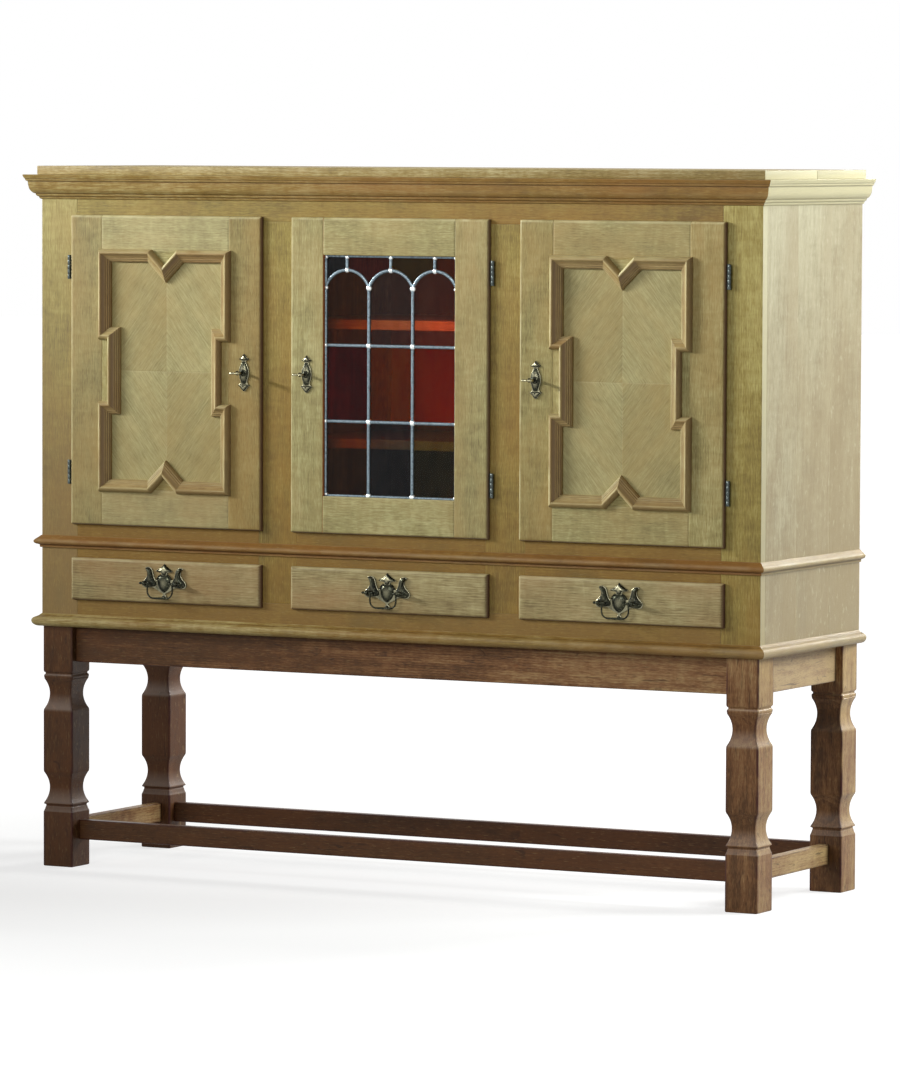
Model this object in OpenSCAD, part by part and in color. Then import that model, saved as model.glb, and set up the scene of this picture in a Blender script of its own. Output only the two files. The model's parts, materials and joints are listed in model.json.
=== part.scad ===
// Three-door display cabinet on a turned stand: an oak case with two moulded doors,
// one leaded-glass door between them, three drawers, and brass and iron fittings.
// Millimetres. The origin is on the floor, under the middle of the whole outline.
// +X is to the right seen from the front, +Y runs to the back, +Z is up.

/* [Stand] */
// Height of the stand, from the floor to the underside of the case
stand_h = 457; // [420:1:540]
// Width of a square leg
leg_w = 64; // [56:1:76]
// Width of a leg at its two necks
leg_neck = 47; // [40:1:50]
// How far the legs stand in from the sides of the case
leg_in = 2.5; // [0:0.5:6]
// How far the rear legs stand in from the back of the case
leg_back_in = 2; // [0:0.5:6]
// Height of the square block at the foot of a leg
foot_h = 105; // [96:1:120]
// Height of the plain square stretch in the middle of a leg
leg_mid_h = 118; // [90:1:130]
// Half the height of the hollow at each neck
neck_half_h = 30.2; // [26:0.2:34]
// Height of the aprons
apron_h = 67; // [50:1:80]
// Thickness of the aprons
apron_t = 20; // [14:1:24]
// How far the aprons lie behind the faces of the legs
apron_in = 14; // [8:1:20]
// Height of the stretchers
stretcher_h = 37; // [28:1:44]
// Thickness of the stretchers
stretcher_t = 20; // [14:1:24]
// How far the stretchers lie behind the faces of the legs
stretcher_in = 25.5; // [16:0.5:28]
// Height of the underside of the stretchers
stretcher_z = 51.5; // [30:0.5:58]

/* [Case] */
// Width of the case
body_w = 1500; // [1480:1:1560]
// Depth of the case
body_d = 428; // [400:1:480]
// Thickness of the case sides and partitions
side_t = 18; // [15:1:22]
// Thickness of the bottom, the dust boards and the shelves
board_t = 18; // [15:1:22]
// Thickness of the back panel
back_t = 6; // [4:1:9]
// Thickness of the face frame
frame_t = 20; // [18:1:22]
// Width of the outer stiles of the face frame
outer_stile_w = 78; // [70:1:90]
// Width of the inner stiles of the face frame
inner_stile_w = 81; // [72:1:90]
// Height of the top rail of the face frame
top_rail_h = 84; // [80:1:110]
// Height of the middle rails of the face frame
middle_rail_h = 81; // [76:1:96]
// Height of the bottom rail of the face frame
bottom_rail_h = 61.5; // [58:0.5:80]
// Depth of the housings that shelves and dust boards sit in
housing_d = 5; // [3:1:7]
// Top of the lower shelves, as a share of the height of the door openings
shelf_low = 0.292; // [0.25:0.001:0.4]
// Top of the upper shelves, as a share of the height of the door openings
shelf_high = 0.682; // [0.6:0.001:0.75]
// How far the shelves lie behind the front of the face frame
shelf_in = 40; // [30:1:60]
// Thickness of the top slab
slab_t = 16.5; // [14:0.5:22]
// Overhang of the top slab at the front and the sides
slab_over = 7; // [4:0.5:12]

/* [Mouldings] */
// Height of the cornice moulding under the slab
cornice_h = 46; // [42:1:52]
// Projection of the cornice moulding
cornice_p = 27; // [24:1:34]
// Height of the moulding between doors and drawers
waist_h = 23.5; // [20:0.5:26]
// Projection of the moulding between doors and drawers
waist_p = 12; // [9:0.5:14]
// Height of that moulding above the drawer openings
waist_up = 25.5; // [14:0.5:30]
// Height of the moulding at the foot of the case
plinth_h = 24; // [20:1:28]
// Projection of the moulding at the foot of the case
plinth_p = 15; // [13:0.5:20]

/* [Doors] */
// Height of a door over its lips
door_h = 582; // [500:1:680]
// How far a door lip stands in front of the face frame
lip_t = 10; // [8:0.5:12]
// Gap between a closed lip and the face frame
lip_gap = 0.4; // [0.3:0.1:0.8]
// How far a lip covers the face frame
lip_over = 9; // [8:0.5:11]
// Thickness of the part of a door inside its opening
tongue_t = 10; // [8:0.5:11]
// Gap round that part in the opening
tongue_gap = 2; // [1.5:0.25:3]
// Rounding of the lip edges
lip_r = 5; // [3:0.5:6]
// Width of the stiles and rails of a door
member_w = 69; // [64:1:76]
// Depth of the panel and the glass behind the front of a door
panel_in = 7; // [5:0.5:9]
// Thickness of the panels
panel_t = 7; // [5:0.5:9]
// How far the panels and the glass reach into the grooves of their frames
groove_w = 10; // [6:1:14]
// Width of the applied moulding
bead_w = 20; // [16:0.5:22]
// How far the applied moulding stands in front of the door
bead_t = 12; // [8:0.5:14]
// How far the applied moulding overlaps the frame of the door
bead_over = 5.5; // [3:0.5:6]
// Half width of the pointed notches in the applied moulding
notch_half_w = 28; // [20:1:34]
// Depth of the pointed notches
notch_d = 28; // [20:1:34]
// Half height of the square notches in the sides
step_half_h = 58; // [40:1:80]
// Depth of the square notches
step_d = 20; // [12:1:28]

/* [Leaded glass] */
// Thickness of the glass
glass_t = 4; // [3:0.5:5]
// Width of the lead strips between the panes
lead_w = 6; // [4:0.5:8]
// Thickness of the leadwork over the glass, front and back
lead_t = 1.2; // [0.8:0.1:1.6]
// Upper cross lead, as a share of the height of the glass
lead_high = 0.627; // [0.58:0.001:0.66]
// Lower cross lead, as a share of the height of the glass
lead_low = 0.312; // [0.25:0.001:0.38]
// Distance from the top of the opening to the tops of the arches
arch_drop = 27; // [20:1:40]
// How far the radius of the arches passes half the width of a pane
arch_wide = 2.5; // [1:0.5:5]

/* [Hinges and locks] */
// Length of a hinge
hinge_l = 45; // [36:1:56]
// Distance from the top or bottom of a door to the middle of its hinge
hinge_in = 98; // [70:1:140]
// Distance from the edge of a door to its hinge axis
hinge_x = 6; // [5.5:0.5:8]
// Distance from the face frame to the hinge axis
hinge_y = 4.5; // [4.5:0.1:5]
// Radius of a hinge barrel
barrel_r = 3.25; // [3:0.05:3.5]
// Radius of a hinge pin
pin_r = 1.5; // [1.2:0.1:1.8]
// Radial clearance of pins and shafts in their bores
fit = 0.05; // [0.03:0.01:0.08]
// Thickness of a hinge leaf
leaf_t = 1.5; // [1:0.1:1.6]
// Reach of a hinge leaf from its axis
leaf_w = 13; // [10:0.5:14]
// Distance from the free edge of a door to its keyhole
key_x = 35; // [32:0.5:37]
// Height of the keyholes above the middle of the doors
key_z = 2; // [-4:0.5:6]
// How far a key stands in front of its door
key_reach = 42; // [34:1:48]
// Radius of a key shank
shank_r = 2.5; // [2:0.1:3]
// Width of a key bow
bow_w = 22; // [16:1:26]
// Width of a lock case
lock_w = 46; // [40:1:50]
// Height of a lock case
lock_h = 60; // [48:1:70]
// Thickness of a lock case
lock_t = 12; // [11.5:0.5:13]
// Travel of a lock bolt
bolt_travel = 10; // [7:0.5:11]
// Height of a lock bolt
bolt_h = 24; // [16:1:30]
// Thickness of a lock bolt
bolt_t = 4.5; // [3:0.5:5]
// Height of an escutcheon
plate_h = 70; // [60:1:80]
// Thickness of an escutcheon and of a pull plate
plate_t = 2.5; // [1.5:0.1:3]

/* [Drawers] */
// Height of a drawer front over its lips
drawer_h = 80; // [74:1:110]
// Room behind a closed drawer
drawer_back_gap = 32; // [10:1:90]
// Thickness of the sides and back of a drawer box
drawer_side_t = 12; // [9:1:14]
// Thickness of a drawer bottom
drawer_bottom_t = 6; // [4:1:8]
// Gap under a drawer box on its runners
runner_gap = 0.3; // [0.2:0.1:0.5]
// Height of the guide fence beside a drawer
fence_h = 26; // [16:1:36]
// Distance between the posts of a pull
pull_span = 68; // [64:1:72]
// Height of a pull pivot above the bottom edge of its drawer
pull_z = 38.5; // [36:0.5:44]
// Distance from a drawer front to the pull pivot
pull_y = 18; // [16:0.5:20]
// Drop of the bail below its pivot
bail_drop = 27.5; // [24:0.5:32]
// Radius of the bail wire
bail_r = 1.9; // [1.6:0.1:2.2]

/* [Hidden] */

$fn = 48;
oak = [0.66, 0.56, 0.36];
oak_pale = [0.74, 0.66, 0.46];
oak_dark = [0.34, 0.24, 0.15];
pine = [0.72, 0.6, 0.42];
brass = [0.32, 0.3, 0.2];
steel = [0.25, 0.25, 0.24];
lead = [0.42, 0.48, 0.5];

// Places across the case, as -1 left, 0 middle and 1 right, and the side of each door's hinges
LEFT = -1;
CENTRE = 0;
RIGHT = 1;
function hinge_side(bay) = bay == LEFT ? -1 : 1;

// Depth: the front of the face frame and the back of the case
front_reach = lip_t + key_reach;
front_y = (front_reach - body_d) / 2;
back_y = front_y + body_d;
inner_y = back_y - back_t;
frame_back_y = front_y + frame_t;

// Widths: three equal openings between the stiles of the face frame
opening_w = (body_w - 2 * outer_stile_w - 2 * inner_stile_w) / 3;
bay_pitch = opening_w + inner_stile_w;
door_w = opening_w + 2 * lip_over;

// Heights, from the floor up
floor_z = stand_h + board_t;
slot_z0 = stand_h + bottom_rail_h;
slot_h = drawer_h - 2 * lip_over;
drawer_z0 = slot_z0 - lip_over;
opening_z0 = slot_z0 + slot_h + middle_rail_h;
opening_h = door_h - 2 * lip_over;
door_z0 = opening_z0 - lip_over;
door_mid_z = door_z0 + door_h / 2;
case_top = opening_z0 + opening_h + top_rail_h;
waist_z0 = slot_z0 + slot_h + waist_up;

// Stand
leg_x = body_w / 2 - leg_in - leg_w / 2;
leg_front_y = front_y + leg_w / 2;
leg_rear_y = back_y - leg_back_in - leg_w / 2;
neck_d = (leg_w - leg_neck) / 2;
neck_r = (neck_half_h * neck_half_h + neck_d * neck_d) / (2 * neck_d);
chamfer_h = 8;
groove_h = 5;
lip_h = 3;
band_h = 6;
groove_d = 2.8;
low_lip_z = foot_h + chamfer_h + groove_h;
low_neck_z = low_lip_z + lip_h / 2 + neck_half_h;
mid_z = low_neck_z + neck_half_h;
high_neck_z = mid_z + leg_mid_h + neck_half_h;
band_z = high_neck_z + neck_half_h;
stand_in_x = leg_x - leg_w / 2;
stand_front_in_y = leg_front_y + leg_w / 2;
stand_rear_in_y = leg_rear_y - leg_w / 2;

// Carcase
inner_x = body_w / 2 - side_t;
part_x = bay_pitch / 2;
boards_z = [for (share = [0, shelf_low, shelf_high]) opening_z0 + share * opening_h - board_t];

// Doors
lip_y = front_y - lip_t;
panel_y = lip_y + panel_in;
door_back_y = front_y + tongue_t;
hole_w = door_w - 2 * member_w;
hole_h = door_h - 2 * member_w;
hinge_axis_y = front_y - hinge_y;
lock_gap = 1;
key_axis_z = door_mid_z + key_z;
play = 0.3;
glue = 0.1;
lock_wall = 1.2;
bit_t = 2.4;
bit_r = 8;
bit_slot = 3.4;
boss_r = 8.4;
bit_y = door_back_y + lock_wall + play;
bolt_y = bit_y + bit_t + 2 * play;

// Drawers
slot_w = opening_w;
box_w = slot_w - 2 * tongue_gap;
box_h = slot_h - 5;
box_z0 = slot_z0 + runner_gap + 0.2;
drawer_d = inner_y - door_back_y - drawer_back_gap;
runner_z = box_z0 - runner_gap;
pivot_z = drawer_z0 + pull_z;
pivot_y = lip_y - pull_y;

function bay_x(bay) = bay * bay_pitch;
function arc(cx, cy, r, a0, a1, n) =
    [for (i = [0:n]) let (a = a0 + (a1 - a0) * i / n) [cx + r * cos(a), cy + r * sin(a)]];
function mirrored(half) =
    concat(half, [for (i = [len(half) - 2:-1:1]) [-half[i][0], half[i][1]]]);
// A closed outline through all its points, with one more between each pair of them
function rounded_outline(half) = let (p = mirrored(half), n = len(p))
    [for (i = [0:n - 1]) each [p[i],
        (9 * (p[i] + p[(i + 1) % n]) - p[(i + n - 1) % n] - p[(i + 2) % n]) / 16]];

// An outline moved inward by d, its corners mitred. The points run clockwise.
function unit(v) = v / norm(v);
function inward(a, b) = let (u = unit(b - a)) [u[1], -u[0]];
function inset(pts, d) = let (n = len(pts))
    [for (i = [0:n - 1])
        let (p = inward(pts[(i + n - 1) % n], pts[i]), q = inward(pts[i], pts[(i + 1) % n]))
        pts[i] + d * (p + q) / (1 + p * q)];

// The outline of the applied moulding: a rectangle with a pointed notch at the middle of
// its top and bottom, and a square notch at the middle of each side
bead_x = hole_w / 2 + bead_over;
bead_z = hole_h / 2 + bead_over;
bead_upper = [[step_d - bead_x, step_half_h], [-bead_x, step_half_h], [-bead_x, bead_z],
    [-notch_half_w, bead_z], [0, bead_z - notch_d], [notch_half_w, bead_z], [bead_x, bead_z],
    [bead_x, step_half_h], [bead_x - step_d, step_half_h]];
bead_outline = concat(bead_upper, [for (p = bead_upper) -p]);

// A box from its lowest corner to its highest
module block(lo, hi) {
    translate(lo) cube(hi - lo);
}

// A flat shape drawn as seen from the front, standing from y0 to y1
module standing(y0, y1) {
    translate([0, y1, 0]) rotate([90, 0, 0]) linear_extrude(y1 - y0) children();
}

module along_x(r, x0, x1) {
    translate([x0, 0, 0]) rotate([0, 90, 0]) cylinder(r = r, h = x1 - x0);
}

module along_y(r, y0, y1) {
    translate([0, y1, 0]) rotate([90, 0, 0]) cylinder(r = r, h = y1 - y0);
}

// A plate with rounded front edges, centred on X and Z, standing from y0 back to y1
module lipped_plate(w, h, y0, y1, r) {
    block([-w / 2, y0 + r, -h / 2], [w / 2, y1, h / 2]);
    block([r - w / 2, y0, r - h / 2], [w / 2 - r, y1, h / 2 - r]);
    for (sx = [-1, 1]) translate([sx * (w / 2 - r), y0 + r, r - h / 2]) cylinder(r = r, h = h - 2 * r);
    for (sz = [-1, 1]) translate([0, y0 + r, sz * (h / 2 - r)]) along_x(r, r - w / 2, w / 2 - r);
    for (sx = [-1, 1], sz = [-1, 1]) translate([sx * (w / 2 - r), y0 + r, sz * (h / 2 - r)]) sphere(r);
}

// A square leg with two hollow necks, cut alike on all four faces
module leg_outline() {
    difference() {
        translate([-leg_w / 2, 0]) square([leg_w, stand_h]);
        for (s = [-1, 1]) {
            for (z = [low_neck_z, high_neck_z])
                translate([s * (leg_neck / 2 + neck_r), z]) circle(neck_r);
            polygon([[s * leg_w, foot_h], [s * leg_w / 2, foot_h],
                [s * (leg_w / 2 - groove_d), foot_h + chamfer_h],
                [s * (leg_w / 2 - groove_d - 0.6), low_lip_z - 1.5], [s * leg_w / 2, low_lip_z],
                [s * leg_w, low_lip_z]]);
            polygon([[s * leg_w, band_z + band_h], [s * leg_w / 2, band_z + band_h],
                [s * (leg_w / 2 - groove_d), band_z + band_h + 1.2],
                [s * (leg_w / 2 - groove_d), band_z + band_h + 3],
                [s * leg_w / 2, band_z + band_h + groove_h], [s * leg_w, band_z + band_h + groove_h]]);
        }
    }
}

module leg(sx, y) {
    color(oak_dark) translate([sx * leg_x, y, 0]) intersection() {
        translate([0, leg_w / 2, 0]) rotate([90, 0, 0]) linear_extrude(leg_w) leg_outline();
        translate([-leg_w / 2, 0, 0]) rotate([90, 0, 90]) linear_extrude(leg_w) leg_outline();
    }
}

module leg_front_left() leg(-1, leg_front_y);
module leg_front_right() leg(1, leg_front_y);
module leg_rear_left() leg(-1, leg_rear_y);
module leg_rear_right() leg(1, leg_rear_y);

// Rails between the legs: y0 is the front face of a long one, x0 the inner face of a side one
module long_rail(y0, t, z0, h) {
    color(oak_dark) block([-stand_in_x, y0, z0], [stand_in_x, y0 + t, z0 + h]);
}

module side_rails(in, t, z0, h) {
    face_x = leg_x + leg_w / 2 - in;
    color(oak_dark) for (s = [-1, 1])
        block([s > 0 ? face_x - t : -face_x, stand_front_in_y, z0],
            [s > 0 ? face_x : t - face_x, stand_rear_in_y, z0 + h]);
}

module apron_front() long_rail(front_y + apron_in, apron_t, stand_h - apron_h, apron_h);
module apron_rear()
    long_rail(leg_rear_y + leg_w / 2 - apron_in - apron_t, apron_t, stand_h - apron_h, apron_h);
module aprons_side() side_rails(apron_in, apron_t, stand_h - apron_h, apron_h);
module stretcher_front() long_rail(front_y + stretcher_in, stretcher_t, stretcher_z, stretcher_h);
module stretcher_rear()
    long_rail(leg_rear_y + leg_w / 2 - stretcher_in - stretcher_t, stretcher_t, stretcher_z, stretcher_h);
module stretchers_side() side_rails(stretcher_in, stretcher_t, stretcher_z, stretcher_h);

// Housings in an upright board whose face is at x, cut towards s
module housings(x, s) {
    for (i = [0:2]) {
        y0 = i == 0 ? frame_back_y : front_y + shelf_in;
        block([min(x, x + s * housing_d), y0, boards_z[i]],
            [max(x, x + s * housing_d), inner_y, boards_z[i] + board_t]);
    }
}

module case_side(s) {
    color(oak_pale) difference() {
        block([s > 0 ? inner_x : -body_w / 2, frame_back_y, stand_h],
            [s > 0 ? body_w / 2 : -inner_x, back_y, case_top]);
        housings(s * inner_x, s);
    }
}

module side_left() case_side(-1);
module side_right() case_side(1);

module bottom_board() {
    color(pine) block([-inner_x, frame_back_y, stand_h], [inner_x, inner_y, floor_z]);
}

module partitions() {
    color(pine) for (s = [-1, 1]) difference() {
        block([s * part_x - side_t / 2, frame_back_y, floor_z],
            [s * part_x + side_t / 2, inner_y, case_top]);
        housings(s * part_x - side_t / 2, 1);
        housings(s * part_x + side_t / 2, -1);
    }
}

module back_panel() {
    color(pine) block([-inner_x, inner_y, stand_h], [inner_x, back_y, case_top]);
}

// Left and right faces of the room inside a bay
function bay_lo(bay) = bay == LEFT ? -inner_x : bay_x(bay) - bay_pitch / 2 + side_t / 2;
function bay_hi(bay) = bay == RIGHT ? inner_x : bay_x(bay) + bay_pitch / 2 - side_t / 2;

module bay_boards(z0, y0) {
    for (bay = [LEFT, CENTRE, RIGHT])
        block([bay_lo(bay) - housing_d, y0, z0], [bay_hi(bay) + housing_d, inner_y, z0 + board_t]);
}

module dust_boards() {
    color(pine) bay_boards(boards_z[0], frame_back_y);
}

module shelves() {
    color(oak) for (i = [1, 2]) bay_boards(boards_z[i], front_y + shelf_in);
}

// Drawer runners: a ledge under each side of a box and a fence beside it
module runner(wall_x, box_x, s) {
    ledge = drawer_side_t + 2;
    fence_x = box_x + s * tongue_gap / 2;
    translate([0, inner_y, 0]) rotate([90, 0, 0]) linear_extrude(inner_y - frame_back_y)
        polygon([[wall_x, floor_z], [box_x - s * ledge, floor_z], [box_x - s * ledge, runner_z],
            [fence_x, runner_z], [fence_x, runner_z + fence_h], [wall_x, runner_z + fence_h]]);
}

module drawer_runners() {
    color(pine) for (bay = [LEFT, CENTRE, RIGHT]) {
        runner(bay_lo(bay), bay_x(bay) - box_w / 2, -1);
        runner(bay_hi(bay), bay_x(bay) + box_w / 2, 1);
    }
}

// The free edge of a door lies on the side away from its hinges
function free_edge(bay) = bay_x(bay) - hinge_side(bay) * door_w / 2;
function hinge_axis_x(bay) = bay_x(bay) + hinge_side(bay) * (door_w / 2 + hinge_x);
hinge_heights = [door_z0 + hinge_in, door_z0 + door_h - hinge_in];

// Where a hinge leaf lies, from its axis towards the door
module leaf_room(bay, y0, y1) {
    s = hinge_side(bay);
    for (z = hinge_heights) translate([hinge_axis_x(bay), 0, z])
        block([min(0, -s * leaf_w), y0, -hinge_l / 2], [max(0, -s * leaf_w), y1, hinge_l / 2]);
}

// The glue lines of the face frame: the outer stiles run full height, the top and bottom
// rails between them, the inner stiles between those, and the middle rails last
module frame_joints() {
    outer = bay_pitch + opening_w / 2;
    inner = bay_pitch - opening_w / 2;
    for (s = [-1, 1]) {
        for (x = [s * outer]) block([x - glue / 2, front_y - 1, stand_h - 1],
            [x + glue / 2, frame_back_y + 1, case_top + 1]);
        for (x = [s * inner, s * opening_w / 2]) block([x - glue / 2, front_y - 1, slot_z0 - glue],
            [x + glue / 2, frame_back_y + 1, opening_z0 + opening_h + glue]);
    }
    for (z = [slot_z0, opening_z0 + opening_h]) block([-outer, front_y - 1, z - glue / 2],
        [outer, frame_back_y + 1, z + glue / 2]);
}

module face_frame() {
    color(oak) difference() {
        block([-body_w / 2, front_y, stand_h], [body_w / 2, frame_back_y, case_top]);
        for (bay = [LEFT, CENTRE, RIGHT]) translate([bay_x(bay), 0, 0]) {
            block([-opening_w / 2, front_y - 1, opening_z0],
                [opening_w / 2, frame_back_y + 1, opening_z0 + opening_h]);
            block([-slot_w / 2, front_y - 1, slot_z0], [slot_w / 2, frame_back_y + 1, slot_z0 + slot_h]);
        }
        for (bay = [LEFT, CENTRE, RIGHT]) {
            s = hinge_side(bay);
            edge = free_edge(bay) + s * lip_over;
            leaf_room(bay, front_y - 1, front_y + 0.1 + leaf_t);
            block([min(edge + s, edge - s * bolt_travel), bolt_y - 2 * play, key_axis_z - bolt_h / 2 - 1],
                [max(edge + s, edge - s * bolt_travel), frame_back_y + 1, key_axis_z + bolt_h / 2 + 1]);
        }
        frame_joints();
    }
}

// A moulding run round the front and both sides, mitred at the corners. The profile's
// points are [projection, height] and its flat back lies on the case.
module wrapped_moulding(p) {
    reach = max([for (q = p) q[0]]);
    low = min([for (q = p) q[1]]) - 1;
    high = max([for (q = p) q[1]]) + 1;
    half = body_w / 2;
    intersection() {
        translate([-half - reach, front_y, 0]) rotate([90, 0, 90]) linear_extrude(2 * (half + reach))
            polygon([for (q = p) [-q[0], q[1]]]);
        translate([0, 0, low]) linear_extrude(high - low)
            polygon([[-half, front_y], [half, front_y], [half + reach, front_y - reach],
                [-half - reach, front_y - reach]]);
    }
    for (s = [-1, 1]) intersection() {
        translate([s * half, back_y, 0]) rotate([90, 0, 0]) linear_extrude(body_d + reach)
            polygon([for (q = p) [s * q[0], q[1]]]);
        translate([0, 0, low]) linear_extrude(high - low)
            polygon([[s * half, front_y + glue], [s * (half + reach), front_y - reach + glue],
                [s * (half + reach), back_y], [s * half, back_y]]);
    }
}

// Profiles, each from the bottom outwards and up: u is a share of the projection and of the height
module scaled_moulding(points, p, h, z0) {
    wrapped_moulding([for (q = points) [q[0] * p, z0 + q[1] * h]]);
}

cornice_profile = [[0, 0], [0.06, 0], [0.11, 0.03], [0.14, 0.08], [0.21, 0.11], [0.28, 0.15],
    [0.31, 0.2], [0.39, 0.23], [0.5, 0.29], [0.59, 0.36], [0.65, 0.42], [0.69, 0.53], [0.71, 0.63],
    [0.72, 0.72], [0.79, 0.75], [0.85, 0.81], [0.9, 0.85], [0.94, 0.91], [1, 0.96], [1, 1], [0, 1]];
waist_profile = concat([[0, 0], [0.3, 0], [0.4, 0.06], [0.4, 0.18]], arc(0.55, 0.4, 0.2, 225, 290, 3),
    arc(0.8, 0.47, 0.2, 300, 400, 4), [[0.6, 0.82], [0.3, 0.94], [0, 1]]);
plinth_profile = [[0, 0], [0.4, 0], [0.57, 0.06], [0.72, 0.13], [0.86, 0.21], [0.95, 0.29], [1, 0.39],
    [0.99, 0.49], [0.94, 0.57], [0.86, 0.64], [0.74, 0.7], [0.49, 0.78], [0.28, 0.84], [0.1, 0.93], [0, 1]];

module cornice() {
    color(oak) scaled_moulding(cornice_profile, cornice_p, cornice_h, case_top - cornice_h);
}

module waist_moulding() {
    color(oak_dark) scaled_moulding(waist_profile, waist_p, waist_h, waist_z0);
}

module plinth_moulding() {
    color(oak_dark) scaled_moulding(plinth_profile, plinth_p, plinth_h, stand_h);
}

module top_slab() {
    color(oak_pale) block([-body_w / 2 - slab_over, front_y - slab_over, case_top],
        [body_w / 2 + slab_over, back_y, case_top + slab_t]);
}

// Hinges: each has five knuckles, the first, third and fifth on the case
knuckle_gap = 0.3;
knuckle_l = (hinge_l - 4 * knuckle_gap) / 5;
function knuckle_z(i) = -hinge_l / 2 + i * (knuckle_l + knuckle_gap);

module carcase_leaf(s) {
    block([min(0, -s * leaf_w), front_y + 0.1 - hinge_axis_y, -hinge_l / 2],
        [max(0, -s * leaf_w), front_y + 0.1 + leaf_t - hinge_axis_y, hinge_l / 2]);
    for (i = [0, 2, 4]) translate([0, 0, knuckle_z(i)]) {
        cylinder(r = barrel_r, h = knuckle_l);
        block([min(0, -s * 2 * pin_r), 0, 0], [max(0, -s * 2 * pin_r), hinge_y + 1, knuckle_l]);
    }
    translate([0, 0, -hinge_l / 2]) cylinder(r = pin_r, h = hinge_l);
}

module carcase_hinge_leaves() {
    color(steel) for (bay = [LEFT, CENTRE, RIGHT], z = hinge_heights)
        translate([hinge_axis_x(bay), hinge_axis_y, z]) carcase_leaf(hinge_side(bay));
}

module door_leaf(s) {
    y1 = front_y - lip_gap - hinge_axis_y;
    y0 = y1 - leaf_t;
    arm = barrel_r + play;
    difference() {
        union() {
            block([min(-s * arm, -s * leaf_w), y0, -hinge_l / 2], [max(-s * arm, -s * leaf_w), y1, hinge_l / 2]);
            for (i = [1, 3]) translate([0, 0, knuckle_z(i)]) {
                cylinder(r = barrel_r, h = knuckle_l);
                block([min(0, -s * arm), y0, 0], [max(0, -s * arm), y1, knuckle_l]);
            }
        }
        translate([0, 0, -hinge_l]) cylinder(r = pin_r + fit, h = 2 * hinge_l);
    }
}

module hinge_leaves(bay) {
    color(steel) for (z = hinge_heights)
        translate([hinge_axis_x(bay), hinge_axis_y, z]) door_leaf(hinge_side(bay));
}

// The place of a door's middle
module at_door(bay) {
    translate([bay_x(bay), 0, door_mid_z]) children();
}

// The bare plate of a door: its lip, and the part that goes into the opening
module door_plate() {
    lipped_plate(door_w, door_h, lip_y, front_y - lip_gap, lip_r);
    tongue_w = door_w - 2 * (lip_over + tongue_gap);
    tongue_h = door_h - 2 * (lip_over + tongue_gap);
    block([-tongue_w / 2, front_y - 1, -tongue_h / 2], [tongue_w / 2, door_back_y, tongue_h / 2]);
}

// What is cut from every door: the groove for its panel or glass, the opening behind that,
// the hinge leaves, the keyhole, and the glue lines between stiles and rails
module door_cuts(bay, filling_t) {
    at_door(bay) {
        block([-hole_w / 2 - groove_w, panel_y, -hole_h / 2 - groove_w],
            [hole_w / 2 + groove_w, panel_y + filling_t, hole_h / 2 + groove_w]);
        block([-hole_w / 2, panel_y, -hole_h / 2], [hole_w / 2, door_back_y + 1, hole_h / 2]);
        for (s = [-1, 1]) {
            block([s * hole_w / 2 - glue / 2, lip_y - 1, -door_h / 2],
                [s * hole_w / 2 + glue / 2, door_back_y + 1, door_h / 2]);
            block([-hole_w / 2, lip_y - 1, s * hole_h / 2 - glue / 2],
                [hole_w / 2, door_back_y + 1, s * hole_h / 2 + glue / 2]);
        }
    }
    leaf_room(bay, front_y - lip_gap - leaf_t, front_y);
    translate([key_axis_x(bay), 0, key_axis_z]) keyway(lip_y - 1, door_back_y + 1, shank_r + 1);
}

function key_axis_x(bay) = free_edge(bay) + hinge_side(bay) * key_x;

// A keyhole: a round hole and a slot below it for the bit of the key
module keyway(y0, y1, r) {
    along_y(r, y0, y1);
    block([-bit_slot / 2, y0, -bit_r - 1], [bit_slot / 2, y1, 0]);
}

module panelled_frame(bay) {
    color(oak_pale) difference() {
        at_door(bay) door_plate();
        at_door(bay) standing(lip_y - 1, panel_y + 1) polygon(inset(bead_outline, bead_over));
        door_cuts(bay, panel_t);
    }
}

module glazed_frame(bay) {
    color(oak_pale) difference() {
        at_door(bay) door_plate();
        at_door(bay) block([-hole_w / 2, lip_y - 1, -hole_h / 2], [hole_w / 2, panel_y + 1, hole_h / 2]);
        door_cuts(bay, glass_t + 2 * lead_t);
    }
}

module door_panel(bay) {
    color(oak) at_door(bay) block([-hole_w / 2 - groove_w, panel_y, -hole_h / 2 - groove_w],
        [hole_w / 2 + groove_w, panel_y + panel_t, hole_h / 2 + groove_w]);
}

// The applied moulding steps down from its outer ridge to the panel. Each step is
// [share of the width where it starts, where it ends, share of the drop left under it].
bead_steps = [[0.225, 0.34, 1], [0.34, 0.56, 0.68], [0.56, 0.7, 0.5], [0.7, 0.88, 0.34], [0.88, 1, 0.16]];

module bead_ring(a, b, y0, y1) {
    standing(y0, y1) difference() {
        polygon(inset(bead_outline, a));
        polygon(inset(bead_outline, b));
    }
}

module door_moulding(bay) {
    drop = bead_t + panel_in;
    color(oak_dark) at_door(bay) {
        bead_ring(0, bead_over, lip_y - bead_t, lip_y);
        bead_ring(bead_over, bead_w * bead_steps[0][1], lip_y - bead_t, panel_y);
        for (i = [1:len(bead_steps) - 1])
            bead_ring(bead_w * bead_steps[i][0], bead_w * bead_steps[i][1],
                panel_y - drop * bead_steps[i][2], panel_y);
    }
}

// The leadwork: a border, a grid of three by three panes, and an arch in each top pane
pane_w = hole_w / 3;
arch_r = pane_w / 2 + arch_wide;

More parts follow.
